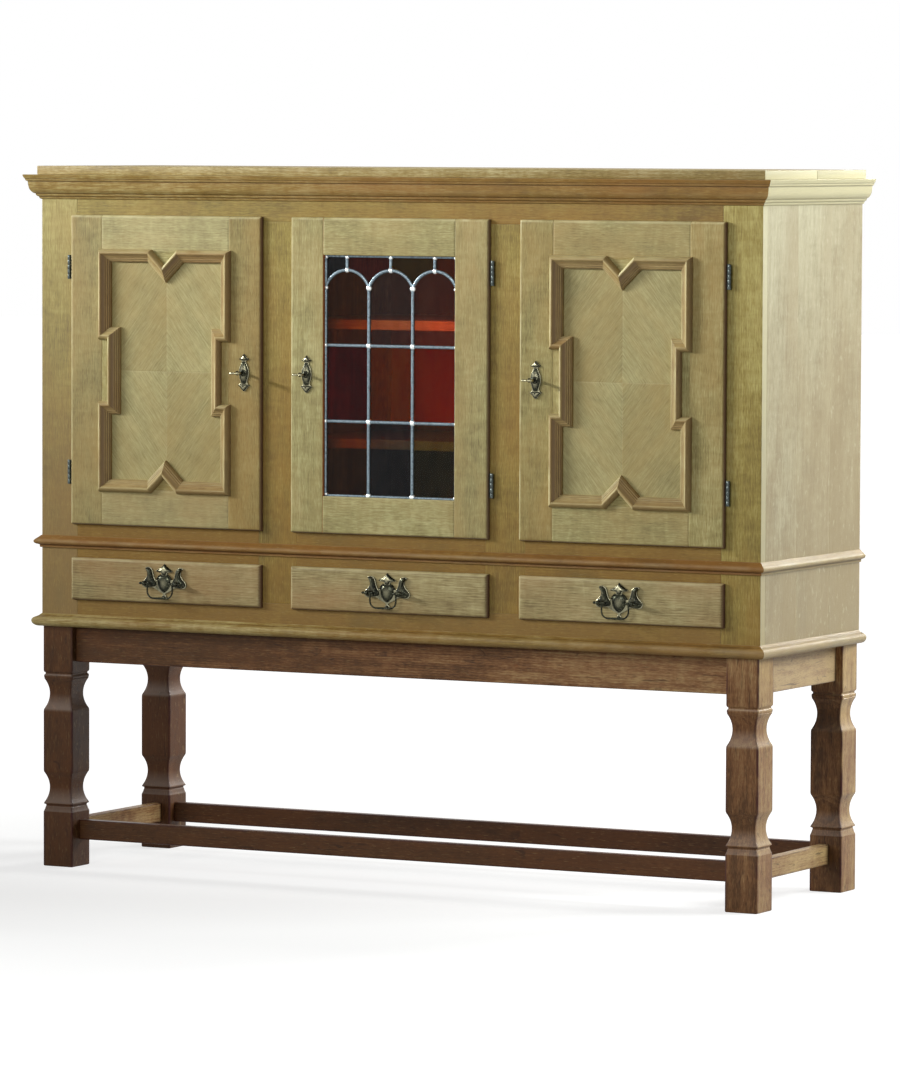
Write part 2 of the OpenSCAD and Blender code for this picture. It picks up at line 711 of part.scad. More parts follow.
module lead_strips() {
    difference() {
        square([hole_w + groove_w, hole_h + groove_w], center = true);
        square([hole_w - lead_w, hole_h - lead_w], center = true);
    }
    for (s = [-1, 1]) translate([s * pane_w / 2 - lead_w / 2, -hole_h / 2])
        square([lead_w, arch_foot + hole_h / 2]);
    for (share = [lead_low, lead_high]) translate([-hole_w / 2, (share - 0.5) * hole_h - lead_w / 2])
        square([hole_w, lead_w]);
    for (i = [-1:1]) translate([i * pane_w, arch_top - arch_r]) {
        intersection() {
            difference() {
                circle(arch_r + lead_w / 2);
                circle(arch_r - lead_w / 2);
            }
            translate([-pane_w / 2, arch_foot - arch_top + arch_r - lead_w / 2])
                square([pane_w, 2 * arch_r]);
        }
        translate([-lead_w / 2, arch_r]) square([lead_w, arch_drop]);
    }
}

arch_top = hole_h / 2 - arch_drop;
arch_foot = arch_top - arch_r + sqrt(arch_r * arch_r - pane_w * pane_w / 4);
glass_y = panel_y + lead_t;

module door_centre_leading() {
    color(lead) at_door(CENTRE) {
        standing(panel_y, glass_y) lead_strips();
        standing(glass_y + glass_t, glass_y + glass_t + lead_t) lead_strips();
    }
}

module door_centre_glass() {
    color([0.5, 0.3, 0.25]) at_door(CENTRE)
        block([-(hole_w + groove_w) / 2, glass_y, -(hole_h + groove_w) / 2],
            [(hole_w + groove_w) / 2, glass_y + glass_t, (hole_h + groove_w) / 2]);
}

// An escutcheon: a waisted shield with a leafy finial above and below, half its outline
// for a height of 70
escutcheon_half = [[0, 35], [2.2, 31.5], [4, 29.5], [6, 27.5], [11.5, 24.5], [8, 22], [5, 20.5],
    [3.6, 17.5], [4.4, 14], [6, 10], [7.5, 5], [9.5, 0], [10.5, -5], [9.5, -10], [7.5, -14],
    [6.2, -17.5], [7, -20.5], [12.5, -23], [9, -26], [7, -29.5], [4, -33], [0, -35]];

module escutcheon(bay) {
    color(brass) translate([key_axis_x(bay), 0, key_axis_z]) difference() {
        union() {
            standing(lip_y - plate_t, lip_y) polygon(rounded_outline(escutcheon_half) * plate_h / 70);
            along_y(boss_r, lip_y - plate_t - 1, lip_y);
        }
        keyway(lip_y - plate_t - 2, lip_y + 1, shank_r + 1);
    }
}

// A lock: its case lies on the back of the stile, and its bolt shoots out of the free edge
function lock_edge(bay) = free_edge(bay) + hinge_side(bay) * (lip_over + tongue_gap + lock_gap);

module lock_case(bay) {
    s = hinge_side(bay);
    x0 = lock_edge(bay);
    color(steel) difference() {
        block([min(x0, x0 + s * lock_w), door_back_y, key_axis_z - lock_h / 2],
            [max(x0, x0 + s * lock_w), door_back_y + lock_t, key_axis_z + lock_h / 2]);
        block([min(x0 - s, x0 + s * (lock_w - 4)), bolt_y - play, key_axis_z - bolt_h / 2 - play],
            [max(x0 - s, x0 + s * (lock_w - 4)), bolt_y + bolt_t + play, key_axis_z + bolt_h / 2 + play]);
        translate([key_axis_x(bay), 0, key_axis_z]) {
            keyway(door_back_y - 1, bit_y, shank_r + 1);
            along_y(bit_r + 1, door_back_y + lock_wall, bolt_y);
            along_y(shank_r + fit, bolt_y, door_back_y + lock_t + 1);
        }
    }
}

module lock_bolt(bay) {
    s = hinge_side(bay);
    x0 = lock_edge(bay);
    x1 = x0 + s * (lock_w - 5);
    slot_r = shank_r + 1;
    kx = key_axis_x(bay);
    color(steel) difference() {
        block([min(x0, x1), bolt_y, key_axis_z - bolt_h / 2], [max(x0, x1), bolt_y + bolt_t, key_axis_z + bolt_h / 2]);
        block([min(kx - s * slot_r, kx + s * (slot_r + bolt_travel)), bolt_y - 1, key_axis_z - slot_r],
            [max(kx - s * slot_r, kx + s * (slot_r + bolt_travel)), bolt_y + bolt_t + 1, key_axis_z + slot_r]);
    }
}

// A key in its lock: the shank with its bit, two collars, and a flat bow with two eyes
// that lies level
bow_t = 3.4;
collar_r = shank_r + 1.6;
collar_t = 2.4;

module key(bay) {
    tip_y = lip_y - key_reach;
    lobe_r = bow_w * 0.27;
    lobe_x = bow_w / 2 - lobe_r;
    lobe_y = tip_y + bow_w * 0.4;
    color(brass) translate([key_axis_x(bay), 0, key_axis_z]) {
        along_y(shank_r, tip_y + bow_w * 0.55, door_back_y + lock_t - 1);
        block([-bit_t / 2, bit_y, -bit_r], [bit_t / 2, bit_y + bit_t, 0]);
        for (y = [tip_y + bow_w * 0.78, lip_y - plate_t - 5]) along_y(collar_r, y, y + collar_t);
        translate([0, 0, -bow_t / 2]) linear_extrude(bow_t) difference() {
            union() {
                for (s = [-1, 1]) translate([s * lobe_x, lobe_y]) circle(lobe_r);
                translate([0, tip_y + lobe_r * 0.6]) circle(lobe_r * 0.6);
                translate([0, lobe_y + lobe_r]) circle(lobe_r * 0.7);
            }
            for (s = [-1, 1]) translate([s * lobe_x, lobe_y]) circle(lobe_r * 0.45);
        }
    }
}

module door_left_frame() panelled_frame(LEFT);
module door_left_panel() door_panel(LEFT);
module door_left_moulding() door_moulding(LEFT);
module door_left_hinge_leaves() hinge_leaves(LEFT);
module door_left_escutcheon() escutcheon(LEFT);
module door_left_lock() lock_case(LEFT);
module door_left_bolt() lock_bolt(LEFT);
module door_left_key() key(LEFT);
module door_centre_frame() glazed_frame(CENTRE);
module door_centre_hinge_leaves() hinge_leaves(CENTRE);
module door_centre_escutcheon() escutcheon(CENTRE);
module door_centre_lock() lock_case(CENTRE);
module door_centre_bolt() lock_bolt(CENTRE);
module door_centre_key() key(CENTRE);
module door_right_frame() panelled_frame(RIGHT);
module door_right_panel() door_panel(RIGHT);
module door_right_moulding() door_moulding(RIGHT);
module door_right_hinge_leaves() hinge_leaves(RIGHT);
module door_right_escutcheon() escutcheon(RIGHT);
module door_right_lock() lock_case(RIGHT);
module door_right_bolt() lock_bolt(RIGHT);
module door_right_key() key(RIGHT);

// Drawers: a lipped front, and a box behind it
module drawer_front(bay) {
    color(oak) translate([bay_x(bay), 0, drawer_z0 + drawer_h / 2]) {
        lipped_plate(door_w, drawer_h, lip_y, front_y - lip_gap, lip_r);
        block([-box_w / 2, front_y - 1, tongue_gap - slot_h / 2],
            [box_w / 2, door_back_y, slot_h / 2 - tongue_gap]);
    }
}

module drawer_box(bay) {
    wall = drawer_side_t;
    color(pine) translate([bay_x(bay), door_back_y, box_z0]) difference() {
        block([-box_w / 2, 0, 0], [box_w / 2, drawer_d, box_h]);
        block([wall - box_w / 2, wall, drawer_bottom_t + 4], [box_w / 2 - wall, drawer_d - wall, box_h + 1]);
        block([wall - box_w / 2, wall, -1], [box_w / 2 - wall, drawer_d - wall, 4]);
    }
}

// A pull plate: a shield with a leafy finial above between two curved horns, and a knob
// below. Half its outline, round the height of its pivots.
pull_half = [[0, 36.5], [2.5, 31.5], [4.5, 27.5], [9, 25], [17, 22.5], [12, 19.5], [7, 17.5],
    [5.5, 14.5], [8, 12], [13.5, 8], [13, 5], [16, 3.5], [20, 5], [25, 10], [29, 17], [30.5, 23],
    [34, 27], [40, 25.5], [37.5, 20.5], [38, 14.5], [42, 7], [46.5, 1], [47.5, -5], [44.5, -9.5],
    [36, -10.5], [27, -9], [20, -8], [15.5, -10.5], [10, -16], [4, -21], [2.6, -24], [4.4, -27],
    [3, -30], [0, -31.5]];
eye_w = 6;
eye_r = 4.4;
rosette_r = 6;
bail_x = pull_span / 2 - 7;
bail_end = 8;
bend_r = 13;
ball_r = 2.7;

module pull(bay) {
    color(brass) translate([bay_x(bay), 0, pivot_z]) {
        standing(lip_y - plate_t, lip_y) polygon(rounded_outline(pull_half));
        for (s = [-1, 1]) translate([s * pull_span / 2, 0, 0]) {
            along_y(rosette_r, lip_y - plate_t - 1.5, lip_y - plate_t);
            difference() {
                union() {
                    along_y(3.2, pivot_y, lip_y - plate_t);
                    translate([0, pivot_y, 0]) along_x(eye_r, -eye_w / 2, eye_w / 2);
                }
                translate([0, pivot_y, 0]) along_x(bail_r + fit, -eye_w, eye_w);
            }
        }
    }
}

// A bail: a wire loop that hangs from two ball-ended pins turning in the eyes of the posts
module bail(bay) {
    pin_x = pull_span / 2 + bail_end;
    color(brass) translate([bay_x(bay), pivot_y, pivot_z]) {
        for (s = [-1, 1]) {
            along_x(bail_r, min(s * (bail_x - 4), s * pin_x), max(s * (bail_x - 4), s * pin_x));
            for (x = [bail_x - 4, pin_x]) translate([s * x, 0, 0]) sphere(ball_r);
            translate([s * bail_x, 0, bend_r - bail_drop]) cylinder(r = bail_r, h = bail_drop - bend_r);
            translate([s * (bail_x - bend_r), 0, bend_r - bail_drop]) rotate([90, 0, 0])
                rotate([0, 0, s > 0 ? 270 : 180]) rotate_extrude(angle = 90)
                    translate([bend_r, 0]) circle(bail_r);
        }
        translate([0, 0, -bail_drop]) along_x(bail_r, bend_r - bail_x, bail_x - bend_r);
    }
}

module drawer_left_front() drawer_front(LEFT);
module drawer_left_box() drawer_box(LEFT);
module drawer_left_pull() pull(LEFT);
module drawer_left_bail() bail(LEFT);
module drawer_centre_front() drawer_front(CENTRE);
module drawer_centre_box() drawer_box(CENTRE);
module drawer_centre_pull() pull(CENTRE);
module drawer_centre_bail() bail(CENTRE);
module drawer_right_front() drawer_front(RIGHT);
module drawer_right_box() drawer_box(RIGHT);
module drawer_right_pull() pull(RIGHT);
module drawer_right_bail() bail(RIGHT);

leg_front_left();
leg_front_right();
leg_rear_left();
leg_rear_right();
apron_front();
apron_rear();
aprons_side();
stretcher_front();
stretcher_rear();
stretchers_side();
side_left();
side_right();
bottom_board();
dust_boards();
partitions();
back_panel();
shelves();
drawer_runners();
face_frame();
plinth_moulding();
waist_moulding();
cornice();
top_slab();
carcase_hinge_leaves();
door_left_frame();
door_left_panel();
door_left_moulding();
door_left_hinge_leaves();
door_left_escutcheon();
door_left_lock();
door_left_bolt();
door_left_key();
door_centre_frame();
door_centre_glass();
door_centre_leading();
door_centre_hinge_leaves();
door_centre_escutcheon();
door_centre_lock();
door_centre_bolt();
door_centre_key();
door_right_frame();
door_right_panel();
door_right_moulding();
door_right_hinge_leaves();
door_right_escutcheon();
door_right_lock();
door_right_bolt();
door_right_key();
drawer_left_front();
drawer_left_box();
drawer_left_pull();
drawer_left_bail();
drawer_centre_front();
drawer_centre_box();
drawer_centre_pull();
drawer_centre_bail();
drawer_right_front();
drawer_right_box();
drawer_right_pull();
drawer_right_bail();
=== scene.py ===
"""The looks of a three-door oak display cabinet on a stand of four shaped legs, built round its
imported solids. Lengths are worked out in millimetres and put into the meshes in metres."""

import json

import bmesh
import bpy
import numpy as np
from mathutils import Matrix


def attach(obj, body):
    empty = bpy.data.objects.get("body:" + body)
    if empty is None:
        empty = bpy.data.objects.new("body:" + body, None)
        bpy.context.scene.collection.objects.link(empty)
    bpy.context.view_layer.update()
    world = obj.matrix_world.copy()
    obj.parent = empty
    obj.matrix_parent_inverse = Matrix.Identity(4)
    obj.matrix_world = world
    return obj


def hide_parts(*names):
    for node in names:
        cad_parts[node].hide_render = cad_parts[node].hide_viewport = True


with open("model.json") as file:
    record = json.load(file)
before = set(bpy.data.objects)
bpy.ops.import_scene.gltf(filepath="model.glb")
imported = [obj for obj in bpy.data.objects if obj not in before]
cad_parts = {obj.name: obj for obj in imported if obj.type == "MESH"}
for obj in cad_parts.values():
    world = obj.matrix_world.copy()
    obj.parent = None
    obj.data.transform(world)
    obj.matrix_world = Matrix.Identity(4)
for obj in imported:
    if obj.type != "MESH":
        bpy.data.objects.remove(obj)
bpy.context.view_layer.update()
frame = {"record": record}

MM = 0.001
ACROSS, DEEP, AHEAD, UP = (1, 0, 0), (0, 1, 0), (0, -1, 0), (0, 0, 1)
BOTH, THREE = (-1, 1), (-1, 0, 1)

# Places of the case, as its solids have them. LAP is how far a door or a drawer covers the frame
# round its opening, and PLAY is the room round what goes into the opening
FRONT, BACK = -188.0, 240.0
FRAME_BACK, REAR = FRONT + 20, BACK - 6
STAND_TOP, CASE_TOP, TOP = 457.0, 1309.5, 1326.0
HALF_W, BAY, THICK = 750.0, 475.0, 18.0
INNER = HALF_W - THICK
OPEN_HALF, SLOT_LOW, SLOT_HIGH, OPEN_LOW, OPEN_HIGH = 197.0, 518.5, 580.5, 661.5, 1225.5
LAP, PLAY = 9.0, 2.0
DOOR_W, DOOR_H, DOOR_MID = 2 * (OPEN_HALF + LAP), OPEN_HIGH - OPEN_LOW + 2 * LAP, (OPEN_LOW + OPEN_HIGH) / 2
LIP, LIP_BACK, TONGUE = FRONT - 10, FRONT - 0.4, FRONT + 10
HOLE_W, HOLE_H = 274.0, 444.0
PANEL = LIP + 7.0
KEY_Z = 945.5
PIVOT_Z, PIVOT_Y = 548.0, LIP - 18.0
SIDES = {"left": -1, "centre": 0, "right": 1}
HINGE = {"left": -1, "centre": 1, "right": 1}


# ---- surfaces -------------------------------------------------------------------------

def unit(v):
    """Vectors brought to length one."""
    v = np.asarray(v, float)
    return v / np.maximum(np.linalg.norm(v, axis=-1, keepdims=True), 1e-6)


def heading(line):
    """Which way a closed line runs at each point, from the point before it to the one after."""
    return unit(np.roll(line, -1, 0) - np.roll(line, 1, 0))


def upright(flat, y):
    """Points (x, z) stood up at the depths y."""
    return np.stack([flat[..., 0], np.broadcast_to(y, flat.shape[:-1]), flat[..., 1]], -1)


def quads(rows, cols):
    """Quads over a grid of points whose columns close into a ring."""
    i, j = np.meshgrid(np.arange(rows - 1), np.arange(cols), indexing="ij")
    k = (j + 1) % cols
    return np.stack([i * cols + j, i * cols + k, (i + 1) * cols + k, (i + 1) * cols + j], -1).reshape(-1, 4)


def loft(rings, wear=0.0):
    """A closed skin through a stack of rings, rings[k, i] being point i of ring k, with a flat
    polygon over each end. wear runs from -1 in a hollow to 1 on a rubbed edge; below naught it
    also carries painted shade, and above it painted highlights."""
    rows, cols, _ = rings.shape
    ends = [np.arange(cols)[::-1], (rows - 1) * cols + np.arange(cols)]
    return {"points": rings.reshape(-1, 3), "faces": [quads(rows, cols)], "ends": ends,
            "wear": np.broadcast_to(wear, (rows, cols)).astype(float).ravel()}


def welded(rings):
    """The same skin where whole rings shrink to a point or points repeat: repeated points are
    joined, quads that lose one corner become triangles, and those that lose more are dropped."""
    rows, cols, _ = rings.shape
    points = rings.reshape(-1, 3)
    _, first, where = np.unique(np.round(points, 4), axis=0, return_index=True, return_inverse=True)
    faces = where.reshape(-1)[quads(rows, cols)]
    same = faces == np.roll(faces, -1, axis=1)
    lost = same.sum(1)
    threes = faces[lost == 1][~same[lost == 1]].reshape(-1, 3)
    return {"points": points[first], "faces": [faces[lost == 0], threes], "ends": [], "wear": np.zeros(len(first))}


def laid(shell, grain, seed=0.0, cut="quarter", shade=0.0):
    """Gives a shell the places that its figure is read from, as if it were sawn out of a log:
    the first runs along the log, and the distance from its middle, the root of the squares of
    the other two, counts the growth rings. A quarter cut looks along the rings and a plain cut
    lies across them, leaning slightly, so that they end in arches."""
    along = unit(grain)
    across = unit(np.cross(along, DEEP) if abs(along[1]) < 0.9 else UP)
    points = shell["points"]
    middle = (points.min(0) + points.max(0)) / 2
    place = (points - middle) @ np.stack([along, across, np.cross(along, across)], 1) * MM
    one, two, three = (seed * np.array([0.618034, 0.754878, 0.569840])) % 1.0
    if cut == "plain":
        place = place + np.array([0.0, 0.05 * (one - 0.5), 0.07 + 0.03 * two])
        place[:, 2] += (0.035 + 0.03 * three) * place[:, 0]
    else:
        place = place + np.array([0.0, 0.16 + 0.12 * one, 0.02 * two])
    place[:, 0] += 40.0 * one + 17.0 * two
    return {**shell, "grain": place, "shade": np.full(len(place), 0.3 * (two - 0.5) + shade),
            "stain": np.zeros(len(place))}


def graded(shell, key, axis, places, values):
    """Adds values to a shell's shade or stain, running from place to place along one axis."""
    shell[key] += np.interp(shell["points"][:, axis], places, values)


def rounded_rectangle(left, right, low, high, corner):
    """Rings of rounded rectangles: four quarter circles of the given radius joined by sides."""
    sizes = np.broadcast_arrays(*np.atleast_1d(left, right, low, high, corner))
    left, right, low, high, corner = (v.astype(float)[:, None] for v in sizes)
    parts = []
    for k, (u, v) in enumerate(((right - corner, high - corner), (left + corner, high - corner),
                                (left + corner, low + corner), (right - corner, low + corner))):
        a = np.linspace(0, np.pi / 2, 4) + k * np.pi / 2
        parts.append(np.stack([u + corner * np.cos(a), v + corner * np.sin(a)], -1))
    return np.concatenate(parts, 1)


def board(one, other, grain, seed=0.0, edge=1.0, corner=1.0, cut="quarter", shade=0.0):
    """A board between two opposite corners, with softened edges: rounded rectangles stacked
    through its thickness, drawn in at both faces by edge times one minus the sine of a quarter
    turn."""
    low, high = np.sort(np.array([one, other], float), 0)
    thin = int(np.argmin(high - low))
    u, v = [a for a in range(3) if a != thin]
    edge = min(edge, (high - low)[thin] * 0.4)
    a = np.linspace(0, np.pi / 2, 4)
    draw, rise = edge * (1 - np.sin(a)), edge * (1 - np.cos(a))
    draw = np.concatenate([[draw[0] + 3.0], draw, draw[::-1], [draw[0] + 3.0]])
    place = np.concatenate([[low[thin]], low[thin] + rise, high[thin] - rise[::-1], [high[thin]]])
    wear = np.array([0.0, 0.7, 1.0, 1.0, 0.25, 0.25, 1.0, 1.0, 0.7, 0.0])
    flat = rounded_rectangle(low[u] + draw, high[u] - draw, low[v] + draw, high[v] - draw, corner)
    rings = np.empty(flat.shape[:2] + (3,))
    rings[..., u], rings[..., v], rings[..., thin] = flat[..., 0], flat[..., 1], place[:, None]
    return laid(loft(rings, wear[:, None]), grain, seed, cut, shade)


def fronted(x0, x1, z0, z1, front, back, radii, grain, seed=0.0, corner=1.2, shade=0.0, sides=-0.9):
    """A board whose front edges are rounded side by side, left, right, low and high: at depth t
    a side of radius r is drawn in by r minus the root of r squared less (r - t) squared. Sides
    that look left and up are rubbed and painted with a highlight; sides says how far those that
    look right and down are painted, darker with painted shade below naught, paler with painted
    light above it."""
    (x0, x1), (z0, z1) = sorted((x0, x1)), sorted((z0, z1))
    t = max(radii) * (1 - np.cos(np.linspace(0, np.pi / 2, 7)))
    t = np.concatenate([t[::-1], [0.0]])

    def drawn(r):
        reach = np.clip(r - t, 0, r)
        d = r - np.sqrt(np.maximum(r * r - reach * reach, 0))
        d[-1] += 4.0
        return np.concatenate([[0.4, 0.0], d])

    way = np.concatenate([np.linspace(0, np.pi / 2, 4) + k * np.pi / 2 for k in range(4)])
    # Painted light: sides that look right and down take the painted shade set by sides; those that look left and up
    # take a rubbed edge and a painted highlight
    shaded_side = np.clip(0.5 + 0.6 * (np.cos(way) - np.sin(way)), 0, 1)
    rubbed = np.array([0.3, 0.3, 0.4, 0.6, 0.8, 1.0, 1.0, 0.7, 0.35, 0.0])
    painted_shade = sides * np.array([1.0, 1.0, 1.0, 1.0, 0.9, 0.75, 0.5, 0.2, 0.0, 0.0])
    left, right, low, high = (drawn(r) for r in radii)
    flat = rounded_rectangle(x0 + left, x1 - right, z0 + low, z1 - high, corner)
    rings = upright(flat, np.concatenate([[back, back - 0.4], front + t])[:, None])
    return laid(loft(rings, rubbed[:, None] * (1 - shaded_side) + painted_shade[:, None] * shaded_side), grain, seed, shade=shade)


def inset(outline, d):
    """An outline moved inwards by d with mitred corners: each point goes along the sum of its
    two sides' normals over one plus their product. The points run clockwise."""
    p = unit(outline - np.roll(outline, 1, 0))[:, ::-1] * (1, -1)
    q = np.roll(p, -1, 0)
    return outline + d * (p + q) / (1 + (p * q).sum(1))[:, None]


def crest(profile):
    """How proud each point of a closed profile stands of the line between its second
    neighbours, from -1 in a hollow to 1 on an edge."""
    lean = np.roll(profile, -2, 0) + np.roll(profile, 2, 0) - 2 * profile
    normal = heading(profile)[:, ::-1] * (1, -1)
    x, y = profile.T
    sign = np.sign((x * np.roll(y, -1) - np.roll(x, -1) * y).sum())
    return np.clip(-(lean * normal).sum(1) * sign / 1.4, -1, 1)


def run_of_moulding(profile, start, end, start_out, end_out, grain, seed):
    """A length of moulding: each profile point (out, rise) is carried from start to end, and
    start_out and end_out are the outward steps there, so that a slanting step cuts a mitre. Its
    undersides are painted dark, a painted shade."""
    out, rise = profile[:, :1], profile[:, 1:]
    # Hollows hold old wax; undersides get painted shade
    wear = np.clip(crest(profile) - 0.55 * np.clip(heading(profile)[:, 0], 0, 1), -1, 1)
    a, b = (np.array(place) + out * np.array(step) + rise * np.array(UP)
            for place, step in ((start, start_out), (end, end_out)))
    return laid(loft(np.stack([a, b]), wear[None]), grain, seed)


def turned(profile, place, axis, sides=24):
    """A turned piece: a profile of (radius, height) carried round an axis through place."""
    profile, axis = np.asarray(profile, float), unit(axis)
    side = unit(np.cross(axis, UP) if abs(axis[2]) < 0.9 else ACROSS)
    a = np.linspace(0, 2 * np.pi, sides, endpoint=False)[:, None]
    ring = np.cos(a) * side + np.sin(a) * np.cross(axis, side)
    rings = np.asarray(place, float) + profile[:, 0, None, None] * ring + profile[:, 1, None, None] * axis
    return laid(welded(rings), axis)


def wire(path, radius, flat_normal, sides, closed=False):
    """A wire along a flat path: a circle of the given radius at each point, square to the
    path. An open wire ends in points; a closed one joins its last ring to its first."""
    run = heading(path) if closed else unit(np.gradient(path, axis=0))
    side = np.cross(run, flat_normal)[:, None]
    a = np.linspace(0, 2 * np.pi, sides, endpoint=False)[None, :, None]
    rings = path[:, None] + radius[:, None, None] * (np.cos(a) * side + np.sin(a) * np.array(flat_normal, float))
    rings = np.concatenate([rings, rings[:1]]) if closed else np.concatenate(
        [np.repeat(path[:1, None], sides, 1), rings, np.repeat(path[-1:, None], sides, 1)])
    return laid(welded(rings), ACROSS)


def smooth_line(points, count, closed=False):
    """Points of a soft line through the given ones: cubic pieces whose slope at each point is
    half the step between its neighbours."""
    p = np.asarray(points, float)
    ends = (p[-1:], p[:2]) if closed else (2 * p[:1] - p[1:2], 2 * p[-1:] - p[-2:-1])
    p = np.concatenate([ends[0], p, ends[1]])
    t = np.linspace(0, 1, count, endpoint=False)[None, :, None]
    a, b, c, d = (p[k:len(p) - 3 + k, None] for k in range(4))
    line = 0.5 * (2 * b + (c - a) * t + (2 * a - 5 * b + 4 * c - d) * t**2 + (3 * b - a - 3 * c + d) * t**3)
    line = line.reshape(-1, p.shape[1])
    return line if closed else np.concatenate([line, p[-2:-1]])


def both_halves(half, count=3):
    """A closed outline from its right half, which runs from top to bottom."""
    line = smooth_line(half, count)
    return np.concatenate([line, line[-2:0:-1] * (-1, 1)])


def cast_plate(half, thick):
    """A cast plate: an outline carried forward and drawn in at the front by a quarter circle."""
    edge = both_halves(half, 4)
    a = np.linspace(0, np.pi / 2, 4)
    draw = np.concatenate([[0.0], 0.8 * (1 - np.cos(a))])
    rise = np.concatenate([[0.0], thick - 0.8 + 0.8 * np.sin(a)])
    rings = upright(np.stack([inset(edge, d) for d in draw]), -rise[:, None])
    return laid(loft(rings, np.array([0, 0, 0.4, 0.9, 0.6])[:, None]), UP)


def raised(outline, core, back, height, closing, wear):
    """A raised form cast on a plate: an outline closes in on its core, a point or a line, by
    the shares in closing, while it rises as a quarter ellipse."""
    s = np.array([0.0, 0.0, *closing])
    rise = np.concatenate([[-0.6], height * np.sqrt(1 - (1 - s[1:]) ** 2)])
    flat = outline * (1 - s)[:, None, None] + core * s[:, None, None]
    return laid(loft(upright(flat, back - rise[:, None]), (wear * s)[:, None]), UP)


def cushion(half, back, height, wear):
    """A raised form that closes in on the middle of its outline."""
    outline = both_halves(half)
    return raised(outline, outline.mean(0), back, height, (0.06, 0.16, 0.3, 0.48, 0.7, 0.88), wear)


def moved(shell, x, y, z):
    """The same shell somewhere else, its figure carried with it."""
    return {**shell, "points": shell["points"] + np.array([x, y, z])}


# ---- finishes -------------------------------------------------------------------------

def tone(colour):
    """A display colour, 0 to 255, as the linear colour that a shader takes."""
    c = np.array(colour) / 255.0
    return tuple(np.where(c <= 0.04045, c / 12.92, ((c + 0.055) / 1.055) ** 2.4)) + (1.0,)


class Value:
    """What a node gives, to be reckoned with: each +, - and * places a Math node."""

    def __init__(self, finish, socket):
        self.finish, self.socket = finish, socket

    def other(self, name):
        return Value(self.finish, self.socket.node.outputs[name])

    def __add__(self, b):
        return self.finish.calc("ADD", self, b)

    def __sub__(self, b):
        return self.finish.calc("SUBTRACT", self, b)

    def __rsub__(self, a):
        return self.finish.calc("SUBTRACT", a, self)

    def __mul__(self, b):
        return self.finish.calc("MULTIPLY", self, b)


class Finish:
    """The nodes of a material, or of the world, under construction. add() places a node and
    gives its output; a socket given such a value is linked, and one given a number or a colour
    is set."""

    def __init__(self, owner):
        owner.use_nodes = True
        self.owner, self.tree = owner, owner.node_tree
        self.tree.nodes.clear()

    def add(self, kind, sockets=None, output=0, **settings):
        node = self.tree.nodes.new(f"ShaderNode{kind}")
        for key, value in settings.items():
            setattr(node, key, value)
        for key, value in (sockets or {}).items():
            if isinstance(value, Value):
                self.tree.links.new(value.socket, node.inputs[key])
            else:
                node.inputs[key].default_value = value
        return Value(self, node.outputs[output])

    def attribute(self, name, output="Fac"):
        return self.add("Attribute", output=output, attribute_name=name)

    def noise(self, vector, stretch, detail=3.0, rough=0.5, distortion=0.0):
        """Noise over a vector stretched by three factors, or over the plain one at one scale."""
        scale = 1.0 if isinstance(stretch, tuple) else stretch
        if isinstance(stretch, tuple):
            vector = self.add("Mapping", {"Vector": vector, "Scale": stretch})
        return self.add("TexNoise", {"Vector": vector, "Scale": scale, "Detail": detail, "Roughness": rough,
                                     "Distortion": distortion})

    def calc(self, operation, a, b=0.0, clamp=False):
        return self.add("Math", {0: a, 1: b, 2: 0.0}, operation=operation, use_clamp=clamp)

    def fit(self, value, low, high, to_low=0.0, to_high=1.0):
        return self.add("MapRange", {"Value": value, "From Min": low, "From Max": high, "To Min": to_low,
                                     "To Max": to_high})

    def mix(self, share, a, b, mode="MIX"):
        return self.add("Mix", {0: share, 6: a, 7: b}, 2, data_type="RGBA", blend_type=mode, clamp_factor=True)

    def bump(self, height, strength, distance):
        return self.add("Bump", {"Height": height, "Strength": strength, "Distance": distance})

    def finish(self, shader, kind="Material"):
        end = self.tree.nodes.new(f"ShaderNodeOutput{kind}")
        self.tree.links.new(shader.socket, end.inputs["Surface"])
        return self.owner


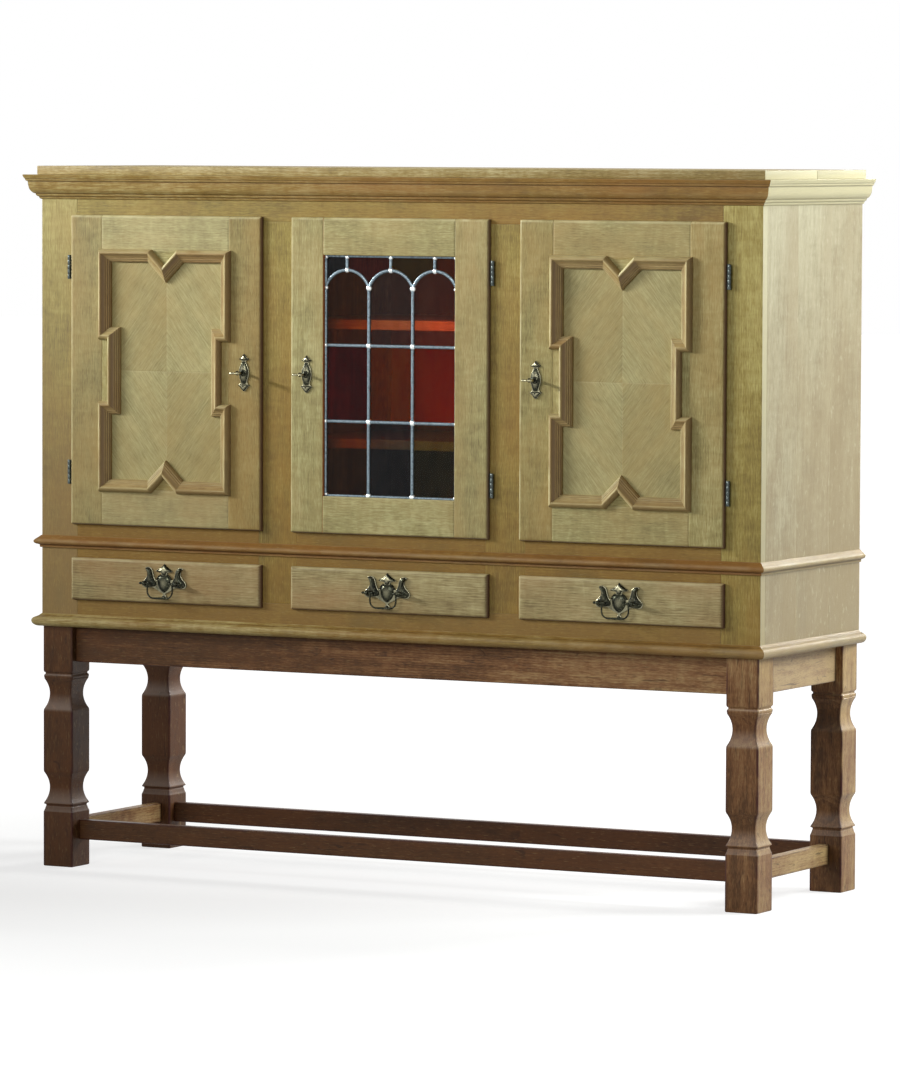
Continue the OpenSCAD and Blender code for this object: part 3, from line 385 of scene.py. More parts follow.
def oak(name, dark, mid, light, warm, pore, rings=1.0, gloss=0.46, hollow=(66, 42, 28), worn_and_lit=(206, 192, 146),
        contrast=1.0, reach=1.0, sheen=0.26, streaks=0.35, wax_and_shade_share=0.5, rubbed=0.3, fleck=0.7, curly=0.35, checks=0.0,
        dust_and_sheen=(212, 206, 172), between=None):
    """Waxed oak sawn out of a log. The distance from the log's middle, wavering slowly, counts
    growth rings: each starts with a row of open pores and ends smooth. Short flecks are noise
    drawn out along the grain, slow noise shifts the hue in blotches, and rays are short pale
    dashes. Edges are rubbed pale and hollows hold old wax; the same marks also paint highlights
    and shade where faces look towards or away from the light. Shade sets each board's tone and
    in places paints light and shade. Stain above naught paints an orange tone, in places painted
    light as if through the red glass; below naught a pale dust colour, in places a painted sheen."""
    f = Finish(bpy.data.materials.new(name))
    grain = f.attribute("grain", "Vector")
    wear, shade, stain = (f.attribute(name) for name in ("wear", "shade", "stain"))

    def figure(along, across, detail, rough=0.5, distortion=0.0, deep=None):
        return f.noise(grain, (along, across, deep or across), detail, rough, distortion)

    across = f.add("SeparateXYZ", {"Vector": grain}, 1)
    deep = across.other("Z")
    waver = figure(1.5, 9, 2, 0.45) * 0.022 + figure(9, 55, 1) * 0.002
    radius = f.calc("SQRT", across * across + deep * deep) + waver
    step = f.calc("FRACT", radius * 210.0)
    ring = f.calc("MINIMUM", step * 3.4, (1.0 - step) * 1.42)
    shown = f.fit(figure(4, 14, 2), 0.3, 0.7, 0.15, 1.0)
    dash = figure(34 / reach, 330, 3, 0.6)
    fine = figure(90 / reach, 950, 2, 0.6)
    streak = figure(4.5, 95, 3, 0.55)
    blotch = figure(9, 17, 4, 0.6)
    slow = figure(2.6, 6, 3, 0.55)
    curl = figure(70, 22, 2, 0.5, 0.6)
    total = (ring - 0.5) * shown * (0.3 * rings)
    for part, weight in ((dash, fleck), (fine, 0.9), (streak, streaks), (blotch, 1.05), (curl, curly)):
        total = total + (part - 0.5) * (weight * contrast)
    plain = f.add("ValToRGB", {"Fac": total + shade * 0.5 + 0.5})
    ramp = plain.socket.node.color_ramp
    ramp.elements[0].color, ramp.elements[1].color = tone(dark), tone(light)
    ramp.elements[0].position, ramp.elements[1].position = 0.05, 0.95
    ramp.elements.new(0.5).color = tone(mid)
    if between:
        ramp.elements.new(0.66).color = tone(between)
    hue = slow * 0.6 + blotch * 0.4 - shade * 0.2
    colour = f.mix(f.fit(hue, 0.44, 0.64) * 0.6, plain, tone(warm))
    pores = f.fit(figure(70 / reach, 1500, 1), 0.54, 0.64) * (f.fit(step, 0.5, 0.0) * 0.7 + 0.3)
    colour = f.mix(pores * 0.4, colour, tone(pore))
    if checks:
        crack = f.fit(figure(17, 210, 2, 0.5, 0.5), 0.66, 0.72)
        knot = f.fit(figure(30, 55, 2, 0.5, 0.8), 0.66, 0.76)
        colour = f.mix(f.calc("MAXIMUM", crack, knot) * checks, colour, tone(pore))
    rays = f.fit(figure(60, 900, 2, 0.5, 0.4, 150), 0.62, 0.72)
    colour = f.mix(rays * 0.25, colour, tone(light))
    patchy = f.fit(figure(22, 50, 3), 0.35, 0.62, 0.2, 1.0)
    # Pale worn colour: rubbed edges, and a painted highlight on faces that look left or up
    colour = f.mix(f.fit(wear, 0.3, 1.0) * patchy * rubbed, colour, tone(worn_and_lit))
    # Dark hollow colour: old wax in hollows, and painted shade on faces that look right or down and on undersides
    colour = f.mix(f.fit(wear, -0.25, -0.9) * wax_and_shade_share, colour, tone(hollow))
    # Orange stain: the wood's tone, and painted light where lit as if through the red glass
    colour = f.mix(f.fit(stain, 0.0, 1.0) * 0.85, colour, tone((196, 108, 56)))
    # Pale stain: dust, and a painted sheen on sides, ends and ledges
    colour = f.mix(f.fit(stain, 0.0, -1.0), colour, tone(dust_and_sheen))
    rough = f.fit(dash + slow, 0.75, 1.25, gloss - 0.05, gloss + 0.12)
    height = dash * 0.6 + fine * 0.35 - pores * 0.8
    return f.finish(f.add("BsdfPrincipled", {
        "Base Color": colour, "Roughness": f.calc("ADD", rough, pores * 0.2, clamp=True),
        "Normal": f.bump(height, 0.4, 0.00035), "Specular IOR Level": sheen}))


def metal(name, base, bright, dark, rough_low, rough_high, scale, bump_depth, metallic=1.0):
    """Old metal: patches of tarnish over a brighter ground, fine pits, and bright rubbed spots
    where slow and quick noise meet."""
    f = Finish(bpy.data.materials.new(name))
    place = f.add("TexCoord", output="Object")
    slow = f.noise(place, scale, 4.0, 0.6, 0.4)
    quick = f.noise(place, scale * 6.5, 3.0, 0.6)
    colour = f.mix(f.fit(slow, 0.38, 0.62), tone(dark), tone(base))
    colour = f.mix(f.fit(quick, 0.56, 0.76) * 0.4, colour, tone(bright))
    # Bright where wear is high: rubbed edges, and painted highlights on solder blobs and key bows
    colour = f.mix(f.fit(f.attribute("wear"), 0.2, 1.0) * 0.7, colour, tone(bright))
    rough = f.fit(slow * 0.6 + quick * 0.4, 0.35, 0.65, rough_high, rough_low)
    return f.finish(f.add("BsdfPrincipled", {
        "Base Color": colour, "Metallic": metallic, "Roughness": rough,
        "Normal": f.bump(slow * 0.7 + quick * 0.5, 0.5, bump_depth)}))


def stained_glass(name):
    """Coloured sheet glass: each pane's own tint, streaked by slow noise, with a waved surface.
    Lamps pass through it with its tint, as a Light Path mix."""
    f = Finish(bpy.data.materials.new(name))
    place = f.add("TexCoord", output="Object")
    tint = f.attribute("tint", "Color")
    streak = f.noise(place, (22, 22, 7), 3.0, 0.55, 1.4)
    colour = f.mix(f.fit(streak, 0.35, 0.7, 0.0, 0.5), tint, f.mix(1.0, tint, tint, "MULTIPLY"))
    normal = f.bump(f.noise(place, (38, 38, 26), 2.0, 0.5, 0.6), 0.25, 0.0012)
    glass = f.add("BsdfPrincipled", {"Base Color": colour, "Transmission Weight": 0.985, "Roughness": 0.04,
                                     "IOR": 1.2, "Normal": normal})
    clear = f.add("BsdfTransparent", {"Color": colour})
    lamp = f.add("LightPath", output="Is Shadow Ray")
    return f.finish(f.add("MixShader", {0: lamp, 1: glass, 2: clear}))


# Each oak: its dark, middle, light and warm colours and its pores' colour, then what sets it apart
FINISHES = {
    # The stand's pale dust colour also paints a sheen on the legs' ledges
    "stand_oak": oak(
        "stand oak", (44, 28, 16), (88, 59, 34), (182, 154, 106), (92, 55, 29), (40, 24, 16), 0.5, 0.36,
        worn_and_lit=(60, 24, 24), contrast=0.5, sheen=0.16, streaks=0.8, rubbed=0.9, fleck=0.6, curly=0.3, checks=0.6,
        between=(128, 90, 57), dust_and_sheen=(198, 184, 170)),
    # The sides' oak is paler and greyer than the front's: painted light and sheen from the bright right side
    "side_oak": oak(
        "pale side oak", (140, 124, 88), (188, 180, 145), (214, 209, 176), (156, 138, 100), (138, 120, 92), 0.9,
        0.36, contrast=0.85, fleck=0.3, reach=1.5, sheen=0.45, streaks=0.6, curly=0.3),
    "frame_oak": oak(
        "face frame oak", (106, 86, 36), (146, 129, 62), (186, 174, 106), (140, 102, 38), (84, 60, 30), 0.5,
        wax_and_shade_share=0.6, curly=0.5, contrast=0.85),
    "top_oak": oak(
        "top slab oak", (106, 88, 42), (146, 126, 70), (190, 178, 130), (146, 106, 48), (84, 62, 34), 0.6),
    # Door, drawer and door-moulding oak: their hollow colours also paint shade on faces that look right or down,
    # their worn colours highlights on faces that look left or up
    "door_oak": oak(
        "door oak", (116, 102, 56), (155, 145, 91), (192, 186, 132), (154, 120, 60), (96, 76, 42), 0.5,
        hollow=(104, 76, 60), worn_and_lit=(214, 206, 160), wax_and_shade_share=0.9, rubbed=0.6, curly=0.5),
    "drawer_oak": oak(
        "drawer oak", (112, 94, 58), (156, 141, 95), (194, 182, 134), (150, 110, 64), (84, 62, 36), 0.8,
        hollow=(84, 52, 40), worn_and_lit=(210, 198, 152), wax_and_shade_share=0.9, rubbed=0.5, reach=1.6, fleck=0.8),
    "moulding_oak": oak(
        "moulding oak", (98, 73, 32), (138, 111, 52), (196, 181, 122), (136, 92, 38), (76, 52, 28), 0.4,
        hollow=(84, 56, 24), reach=1.5, streaks=0.25, contrast=0.85, wax_and_shade_share=0.8, rubbed=0.15),
    "bead_oak": oak(
        "door moulding oak", (116, 92, 60), (156, 134, 86), (190, 172, 118), (146, 110, 62), (84, 60, 40), 0.3,
        hollow=(132, 108, 82), worn_and_lit=(218, 212, 160), reach=1.6, contrast=0.7, wax_and_shade_share=0.8, rubbed=0.85),
    "panel_veneer": oak(
        "matched veneer", (124, 112, 66), (161, 152, 103), (192, 183, 132), (160, 134, 76), (104, 84, 50), 0.35,
        0.42, reach=1.3, streaks=0.3, contrast=0.8, fleck=0.8),
    "shelf_oak": oak("shelf oak", (168, 142, 84), (208, 184, 122), (226, 206, 146), (200, 156, 88), (96, 70, 42)),
    "inner_wood": oak(
        "inside softwood", (92, 64, 54), (146, 108, 74), (214, 172, 122), (132, 90, 56), (84, 60, 40), 1.3,
        0.6),
    "brass": metal("antique brass", (44, 46, 34), (206, 200, 164), (20, 23, 19), 0.18, 0.34, 90.0, 0.0003, 0.9),
    "hinge_steel": metal("greyed steel", (84, 92, 88), (140, 150, 146), (58, 64, 62), 0.3, 0.42, 300.0, 0.00008, 0.7),
    "lock_steel": metal("plain lock steel", (128, 126, 120), (176, 174, 166), (84, 80, 74), 0.3, 0.5, 120.0, 0.0001),
    "lead": metal("grey lead came", (122, 138, 146), (248, 252, 248), (80, 92, 100), 0.24, 0.44, 240.0, 0.0003, 0.9),
    "coloured_glass": stained_glass("coloured glass"),
}
SLOT_OF = {entry["node"]: entry["material_slot"] for entry in frame["record"]["subparts"]}
BODY_OF = {node: body for body, nodes in frame["record"]["behaviour"]["bodies"].items() for node in nodes}
FIELDS = {"grain": ("FLOAT_VECTOR", "vector"), "wear": ("FLOAT", "value"), "shade": ("FLOAT", "value"),
          "stain": ("FLOAT", "value"), "tint": ("FLOAT_COLOR", "color")}


def piece(node, kind, shells, sharp=32.0):
    """Puts shells into one mesh that stands for a node: its slot, its finish and its body come
    from the record."""
    name = f"{node}_{kind}"
    faces, start = [], 0
    for s in shells:
        for block in (*s["faces"], *s["ends"]):
            faces.extend((np.atleast_2d(block) + start).tolist())
        start += len(s["points"])
    mesh = bpy.data.meshes.new(name)
    mesh.from_pydata(np.concatenate([s["points"] for s in shells]) * MM, [], faces)
    for key, (form, field) in FIELDS.items():
        if key in shells[0]:
            values = np.concatenate([s[key] for s in shells]).astype(np.float32)
            mesh.attributes.new(key, form, "POINT").data.foreach_set(field, values.ravel())
    work = bmesh.new()
    work.from_mesh(mesh)
    bmesh.ops.recalc_face_normals(work, faces=work.faces)
    work.to_mesh(mesh)
    work.free()
    mesh.shade_smooth()
    mesh.set_sharp_from_angle(angle=np.radians(sharp))
    mesh.materials.append(FINISHES[SLOT_OF[node]])
    made = bpy.data.objects.new(name, mesh)
    bpy.context.scene.collection.objects.link(made)
    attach(made, BODY_OF[node])
    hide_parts(node)


# ---- stand ----------------------------------------------------------------------------

LEG_X, LEG_FRONT, LEG_REAR, LEG_HALF = 715.5, FRONT + 32, BACK - 34, 32.0
RAIL_THICK = 20.0
# Lower and upper edges of aprons and stretchers, and how far they stand back from the legs' faces
APRON, STRETCHER = (390.0, STAND_TOP, 14.0), (51.5, 88.5, 25.5)


def leg_profile():
    """Heights and half widths of a leg: a square foot with a chamfer, a groove, a lip, and two
    hollow necks that are arcs of a circle, with a plain square between them and a banded top."""
    neck = np.linspace(-28.9, 28.9, 23)
    hollow = 81.4 - np.sqrt(57.9**2 - neck**2)
    low, high = np.stack([149.7 + neck, hollow], 1), np.stack([328.1 + neck, hollow], 1)
    foot = [
        [0, 30.6], [0.5, 31.4], [1.4, 31.9], [2.6, 32], [103.2, 32], [104.4, 31.8], [105.6, 31.2],
        [109.5, 29.9], [112.6, 29.2], [113.4, 28.9], [114.0, 28.5], [116.4, 28.5], [117.2, 29.0], [117.8, 30.2],
        [118.3, 31.3], [119.0, 31.6], [119.9, 31.5]]
    square = [[180.4, 31.7], [182.4, 31.95], [184.6, 32], [293.6, 32], [295.6, 31.95], [297.4, 31.7]]
    top = [
        [357.6, 30.6], [358.6, 31.1], [360.0, 31.4], [362.6, 31.4], [363.8, 31.0], [364.6, 30.2], [365.2, 29.5],
        [367.4, 29.3], [368.2, 29.7], [369.0, 30.9], [370.2, 31.6], [372.0, 32], [456.4, 32], [457, 31.6]]
    return np.concatenate([foot, low, square, high, top])


def leg(node, sx, y, seed, front, side):
    """Square rings with softened corners, as wide at each height as the leg's profile; front
    and side say how pale the front and the side that looks right are, the side's extra paleness
    being painted light. The ledges, the slopes that look up, get a painted pale sheen, and the
    top is a little paler."""
    z, half = leg_profile().T
    corners = rounded_rectangle(-half, half, -half, half, 2.0).reshape(len(z), 4, 4, 2)
    first, last = corners[:, :, 0], corners[:, :, 3]
    before = first + 4.0 * unit(np.roll(last, 1, 1) - first)
    after = last + 4.0 * unit(np.roll(first, -1, 1) - last)
    flat = np.concatenate([before[:, :, None], corners, after[:, :, None]], 2).reshape(len(z), 24, 2)
    heights = np.broadcast_to(z[:, None, None], flat.shape[:2] + (1,))
    rings = np.concatenate([flat + np.array([sx * LEG_X, y]), heights], -1)
    slope = half - np.convolve(np.pad(half, 4, "edge"), np.ones(9) / 9, "valid")
    wear = np.clip(slope / 2.4, -1, 0)[:, None] + np.tile([0.0, 1.0, 1.0, 1.0, 1.0, 0.0], 4)[None]
    shell = laid(loft(rings, np.clip(wear, -1, 1)), UP, seed, "plain", front)
    rise, run = np.gradient(z), np.gradient(half)
    ledge = np.clip(-run / np.hypot(rise, run), 0, 1) * (z > 20) * (z < 440)
    way = np.concatenate([np.array([0, 0, 30, 60, 90, 90]) + k * 90.0 for k in range(4)])
    right = np.clip((np.cos(np.radians(way)) - 0.4) / 0.4, 0, 1)
    # Painted light on the side that looks right, and painted sheen on the ledges
    shell["shade"] += ((side - front) * right + 0.35 * ledge[:, None]).ravel()
    graded(shell, "shade", 2, [330, 400], [0, 0.12 + 0.18 * (sx > 0)])
    # The pale stain on the ledges is a painted sheen
    shell["stain"] -= np.repeat(0.42 * ledge, flat.shape[1])
    piece(node, "oak", [shell])


def rail(s, low, high, back, *look, **more):
    """A board between two legs, along the front (s = -1) or the rear (s = 1)."""
    x, y = LEG_X - LEG_HALF, (LEG_FRONT if s < 0 else LEG_REAR) + s * (LEG_HALF - back)
    return board((-x, y, low), (x, y - s * RAIL_THICK, high), ACROSS, *look, **more)


def side_rails(low, high, back, seed, *look, **more):
    """Two boards between a front and a rear leg, one on each side."""
    x, y0, y1 = LEG_X + LEG_HALF - back, LEG_FRONT + LEG_HALF, LEG_REAR - LEG_HALF
    return [board((s * x, y0, low), (s * (x - RAIL_THICK), y1, high), DEEP, seed + s, *look, **more) for s in BOTH]


leg("leg_front_left", -1, LEG_FRONT, 1, -0.4, -0.2)
leg("leg_front_right", 1, LEG_FRONT, 2, 0.15, 0.47)
leg("leg_rear_left", -1, LEG_REAR, 3, -0.3, -0.1)
leg("leg_rear_right", 1, LEG_REAR, 4, 0.25, 0.65)
front_apron = rail(-1, *APRON, 5)
# The front apron is darker at its left end, paler towards the right
graded(front_apron, "shade", 0, [-683, -560, -350, 400, 683], [-0.25, 0.1, 0.55, 0.35, 0.35])
# Painted light: the side aprons are painted paler, with a pale painted sheen, for the bright light on the right side
side_aprons = side_rails(*APRON, 7, cut="plain", shade=0.9)
for apron in side_aprons:
    apron["stain"] -= 0.14
piece("apron_front", "oak", [front_apron])
piece("apron_rear", "oak", [rail(1, *APRON, 6)])
piece("aprons_side", "oak", side_aprons)
piece("stretcher_front", "oak", [rail(-1, *STRETCHER, 9, 1.6, shade=-0.3)])
piece("stretcher_rear", "oak", [rail(1, *STRETCHER, 10, 1.6, shade=-0.5)])
# Painted light: the side stretchers are painted paler, as the light on the right side falls on them
piece("stretchers_side", "oak", side_rails(*STRETCHER, 12, 1.6, shade=0.6))

# ---- case -----------------------------------------------------------------------------

# Undersides of the dust boards and of the two rows of shelves
SHELVES = [643.5, 826.19 - THICK, 1046.15 - THICK]
FLOOR = STAND_TOP + THICK
LEDGE_TOP, FENCE_TOP = 518.7, 544.7
# Half the width of a drawer's box, and the thickness of its boards
BOX, BOX_WALL = OPEN_HALF - PLAY, 12.0


def bay_walls(side):
    """The inner faces of a bay's left and right walls."""
    wall = (BAY - THICK) / 2
    return (-INNER if side < 0 else side * BAY - wall), (INNER if side > 0 else side * BAY + wall)


def level(side, y0, z, seed, edge):
    """A board that lies across a bay, from wall to wall."""
    x0, x1 = bay_walls(side)
    return board((x0, y0, z), (x1, REAR, z + THICK), ACROSS, seed, edge)


def case_side(node, s, seed):
    """Three boards jointed side by side, their grain upright."""
    cuts = [FRAME_BACK, -38, 104, BACK]
    planks = [board((s * INNER, y0, STAND_TOP), (s * HALF_W, y1, CASE_TOP), UP, seed + k, 0.3, 0.2, "plain")
              for k, (y0, y1) in enumerate(zip(cuts, cuts[1:]))]
    for plank in planks:
        plank["shade"] *= 0.3
        # Painted shade: the sides darken towards their foot and towards the back, where their light falls off
        graded(plank, "shade", 2, [STAND_TOP, CASE_TOP], [-0.9, 0.15])
        graded(plank, "shade", 1, [FRONT, BACK], [0.1, -0.3])
    piece(node, "oak", planks)


def back_boards():
    """Nine boards, three behind each bay. Behind the glass their inner faces carry painted light:
    reddish in the middle space, as if lit through the red panes, and painted shade over and under it."""
    boards = []
    heights = [STAND_TOP, *SHELVES[1:], CASE_TOP]
    for x0, x1 in ((-INNER, -BAY / 2), (-BAY / 2, BAY / 2), (BAY / 2, INNER)):
        for z0, z1, shade, stain in zip(heights, heights[1:], (-0.7, 0.8, -0.7), (0.1, 0.8, 0.1)):
            part = board((x0, REAR, z0), (x1, BACK, z1), UP, 31, 0.05, 0.05)
            # Painted light and shade on the inner faces behind the glass; all other faces a little darker
            glazed = (x0 < 0 < x1) * (part["points"][:, 1] < BACK - 3)
            part["shade"] += np.where(glazed, shade, -0.2)
            part["stain"] += stain * glazed
            boards.append(part)
    return boards


def runner(side, s, seed):
    """A ledge and a fence, one behind the other against a bay's wall."""
    wall, box = bay_walls(side)[s > 0], side * BAY + s * BOX
    return [board((wall, FRAME_BACK, FLOOR), (box - s * 14, REAR, LEDGE_TOP), DEEP, seed, 0.5),
            board((wall, FRAME_BACK, LEDGE_TOP), (box + s, REAR, FENCE_TOP), DEEP, seed + 0.5, 0.5)]


case_side("side_left", -1, 20)
case_side("side_right", 1, 24)
piece("bottom_board", "wood", [board((-INNER, FRAME_BACK, STAND_TOP), (INNER, REAR, FLOOR), ACROSS, 30, 0.4)])
piece("back_panel", "wood", back_boards())
piece("partitions", "wood", [board((s * BAY / 2 - THICK / 2, FRAME_BACK, FLOOR),
                                   (s * BAY / 2 + THICK / 2, REAR, CASE_TOP), UP, 32 + s, 0.4) for s in BOTH])
piece("dust_boards", "wood", [level(s, FRAME_BACK, SHELVES[0], 36 + s, 0.4) for s in THREE])
piece("shelves", "oak", [level(s, FRONT + 40, z, 40 + s + z, 1.5) for s in THREE for z in SHELVES[1:]])
piece("drawer_runners", "wood", [b for side in THREE for s in BOTH for b in runner(side, s, 52 + 2 * s + side)])


def face_frame():
    """Stiles and rails butted with hairline joints: outer stiles full height, the top and bottom
    rails between them, the inner stiles between those, and the middle rails last. The inner
    stiles are notched from behind where the bolts shoot."""
    notch, depth, reach, gap = TONGUE + 4.1, 10.2, 13.0, 0.12
    low, high = STAND_TOP, CASE_TOP
    parts, backs = [], []

    def member(x0, x1, z0, z1, grain, seed, back=FRAME_BACK, radii=(0.35,) * 4, **more):
        parts.append(fronted(x0, x1, z0, z1, FRONT, back, radii, grain, seed, **{"sides": 0.0, **more}))

    for s in BOTH:
        member(s * HALF_W, s * (BAY + OPEN_HALF), low, high, UP, 60 + s, radii=(0.9, 0.9, 0.4, 0.4), shade=0.7,
               sides=0.3)
        x0, x1 = sorted((s * OPEN_HALF, s * (BAY - OPEN_HALF)))
        member(x0, x1, SLOT_LOW + gap, OPEN_HIGH - gap, UP, 63 + s, notch)
        heights = [SLOT_LOW + gap, KEY_Z - reach, KEY_Z + reach, OPEN_HIGH - gap]
        for z0, z1, cut in zip(heights, heights[1:], (0, depth, 0)):
            backs.append(board((x0 + cut * (s < 0), notch, z0), (x1 - cut, FRAME_BACK, z1), UP, 63 + s, 0.05, 0.05))
    end = BAY + OPEN_HALF - gap
    member(-end, end, low, SLOT_LOW, ACROSS, 66)
    member(-end, end, OPEN_HIGH, high, ACROSS, 67)
    for s in THREE:
        member(s * BAY - OPEN_HALF + gap, s * BAY + OPEN_HALF - gap, SLOT_HIGH, OPEN_LOW, ACROSS, 69 + s)
    # Painted shade: each member darkens towards its foot as the light falls off downwards, the left outer stile most
    even = ((low, high), (-0.5, 0.15))
    left_end = ((low, low + 100, low + 190, low + 350, high - 190, high - 60), (-1.4, -1.1, -0.15, 0.35, 0.5, 0.0))
    looks = [(-0.3, -0.1, left_end), (-0.2, 0.0, even), (-0.3, 0.0, even), (0.0, 0.02, even)]
    looks += [(-0.45, -0.02, even)] * 2 + [(-0.4, 0.0, even)] * 3
    for part, (shade, stain, (heights, shades)) in zip(parts, looks):
        part["shade"] += shade
        part["stain"] += stain
        graded(part, "shade", 2, heights, shades)
        # Painted light and sheen: the outer stiles' faces that look outwards are pale like the sides, darker towards
        # the foot
        x, y, z = part["points"].T
        outside = (np.abs(x) > HALF_W - 0.2) & (y > FRONT + 0.8)
        part["stain"] = np.where(outside, np.interp(z, [low, high], [-0.5, -0.8]), part["stain"])
        part["shade"] = np.where(outside, np.interp(z, [low, high], [-0.9, 0.2]), part["shade"])
    # The top rail is paler at its left end and warmer at its right
    graded(parts[5], "shade", 0, [-HALF_W, HALF_W], [0.3, -0.2])
    graded(parts[5], "stain", 0, [-HALF_W, HALF_W], [-0.02, 0.08])
    piece("face_frame", "oak", parts + backs)


face_frame()

CORNICE = np.array([
    (0, 0), (1.0, 0.1), (2.3, 0.7), (3.3, 1.9), (3.9, 3.3), (4.1, 4.3), (4.3, 4.9), (5.6, 5.2), (7.0, 6.1),
    (8.0, 7.4), (8.6, 8.8), (8.7, 9.9), (8.9, 10.5), (10.2, 10.7), (11.8, 11.5), (13.5, 13.0), (15.1, 15.0),
    (16.5, 17.1), (17.5, 19.4), (18.2, 22.0), (18.7, 24.7), (19.1, 27.6), (19.4, 30.4), (19.6, 32.6),
    (19.7, 33.5), (20.6, 33.8), (21.9, 34.3), (22.8, 35.3), (23.2, 36.6), (23.2, 37.6), (23.4, 38.2),
    (24.2, 38.6), (25.0, 39.8), (25.6, 41.5), (26.2, 43.2), (26.8, 44.5), (26.9, 45.3), (26.4, 46),
    (0, 46)], float)
WAIST = np.array([
    (0, 0), (2.4, 0.1), (3.1, 0.8), (3.3, 2.2), (3.1, 3.6), (3.0, 4.3), (3.8, 5.1), (5.6, 5.9), (8.0, 6.7),
    (10.2, 7.9), (11.5, 9.6), (12, 11.6), (11.6, 13.4), (10.2, 15.1), (7.8, 17.1), (5.0, 19.4), (2.5, 21.7),
    (1.0, 23.1), (0, 23.5)], float)
PLINTH = np.array([
    (0, 0), (5.5, 0), (8.4, 0.9), (10.8, 2.4), (12.8, 4.4), (14.2, 6.6), (14.9, 9.2), (14.9, 11.6),
    (14.2, 13.7), (12.9, 15.4), (11.1, 16.8), (9.2, 17.7), (7.3, 18.5), (5.6, 19.3), (4.2, 20.3), (2.9, 21.4),
    (1.6, 22.6), (0.6, 23.5), (0, 24)], float)


def wrapped(node, profile, z, seed, front_shades, side_shade, stains):
    """A moulding round the front and both sides, in three lengths mitred at the corners. The
    front's shade runs from its left to its right end; stains are those of front and sides. The
    sides' shade and pale stain are painted light and sheen from the bright side."""
    front = run_of_moulding(profile, (-HALF_W, FRONT, z), (HALF_W, FRONT, z), (-1, -1, 0), (1, -1, 0), ACROSS, seed)
    graded(front, "shade", 0, [-HALF_W, HALF_W], front_shades)
    front["stain"] += stains[0]
    sides = [run_of_moulding(profile, (s * HALF_W, FRONT + 0.05, z), (s * HALF_W, BACK, z), (s, -1, 0), (s, 0, 0),
                             DEEP, seed + 1.5 * s + 3) for s in BOTH]
    for side in sides:
        side["shade"] += side_shade
        side["stain"] += stains[1]
    piece(node, "oak", [front, *sides], 38)


# Side shades and pale side stains paint light and sheen on the lengths along the sides
wrapped("cornice", CORNICE, CASE_TOP - CORNICE[-1, 1], 80, (0.2, -0.25), 1.6, (0.0, -0.65))
wrapped("waist_moulding", WAIST, 606, 84, (-0.4, -0.6), -0.4, (0.05, -0.25))
wrapped("plinth_moulding", PLINTH, STAND_TOP, 88, (0.4, -0.35), -0.7, (0.0, -0.28))
SLAB, SLAB_JOINT = 757.0, 26.0
slab = [board((-SLAB, y0, CASE_TOP), (SLAB, y1, TOP), ACROSS, seed, 1.2, 1.6)
        for y0, y1, seed in ((FRONT - 7, SLAB_JOINT, 90), (SLAB_JOINT, BACK, 91))]
for plank in slab:
    # Painted light and sheen: the planks' ends are pale like the sides
    at_end = np.abs(plank["points"][:, 0]) > SLAB - 0.5
    plank["shade"] += 1.5 * at_end
    plank["stain"] -= 0.75 * at_end
piece("top_slab", "oak", slab)

# ---- hinges, locks and keys -------------------------------------------------------------

HINGE_Y = FRONT - 4.5
HINGE_H = 45.0
HINGE_HEIGHTS = [DOOR_MID + s * (DOOR_H / 2 - 98) for s in BOTH]
GAP = 0.3
KNUCKLE = (HINGE_H - 4 * GAP) / 5
BARREL = [
    (0, 0), (2.6, 0), (3.05, 0.15), (3.25, 0.5), (3.25, KNUCKLE - 0.5), (3.05, KNUCKLE - 0.15), (2.6, KNUCKLE),
    (0, KNUCKLE)]


def hinge_leaf(bay, mid, which, plate, arm):
    """One half of a hinge: the barrels it has on the pin, with slightly domed ends, a thin
    plate, and an arm from the plate to each barrel. Plate and arm are given as near and far,
    from the pin towards the door's middle, and front and back, from the case's front."""
    x, s = SIDES[bay] * BAY + HINGE[bay] * (DOOR_W / 2 + 6), HINGE[bay]
    low = mid - HINGE_H / 2

    def thin(sizes, z0, z1, corner):
        near, far, y0, y1 = sizes
        return board((x - s * near, FRONT + y0, z0), (x - s * far, FRONT + y1, z1), UP, 0, 0.2, corner)

    steps = [low + i * (KNUCKLE + GAP) for i in which]
    shells = [turned(BARREL, (x, HINGE_Y, z), UP) for z in steps] + [thin(plate, low, low + HINGE_H, 0.3)]
    shells += [thin(arm, z, z + KNUCKLE, 0.2) for z in steps]
    if 0 in which:
        shells.append(turned([(0, 0), (1.5, 0), (1.5, HINGE_H), (0, HINGE_H)], (x, HINGE_Y, low), UP, 12))
    return shells


piece("carcase_hinge_leaves", "steel", [shell for bay in SIDES for mid in HINGE_HEIGHTS for shell in hinge_leaf(
    bay, mid, (0, 2, 4), (0, 13, 0.1, 1.6), (0, 2.6, -3.5, 0.8))])

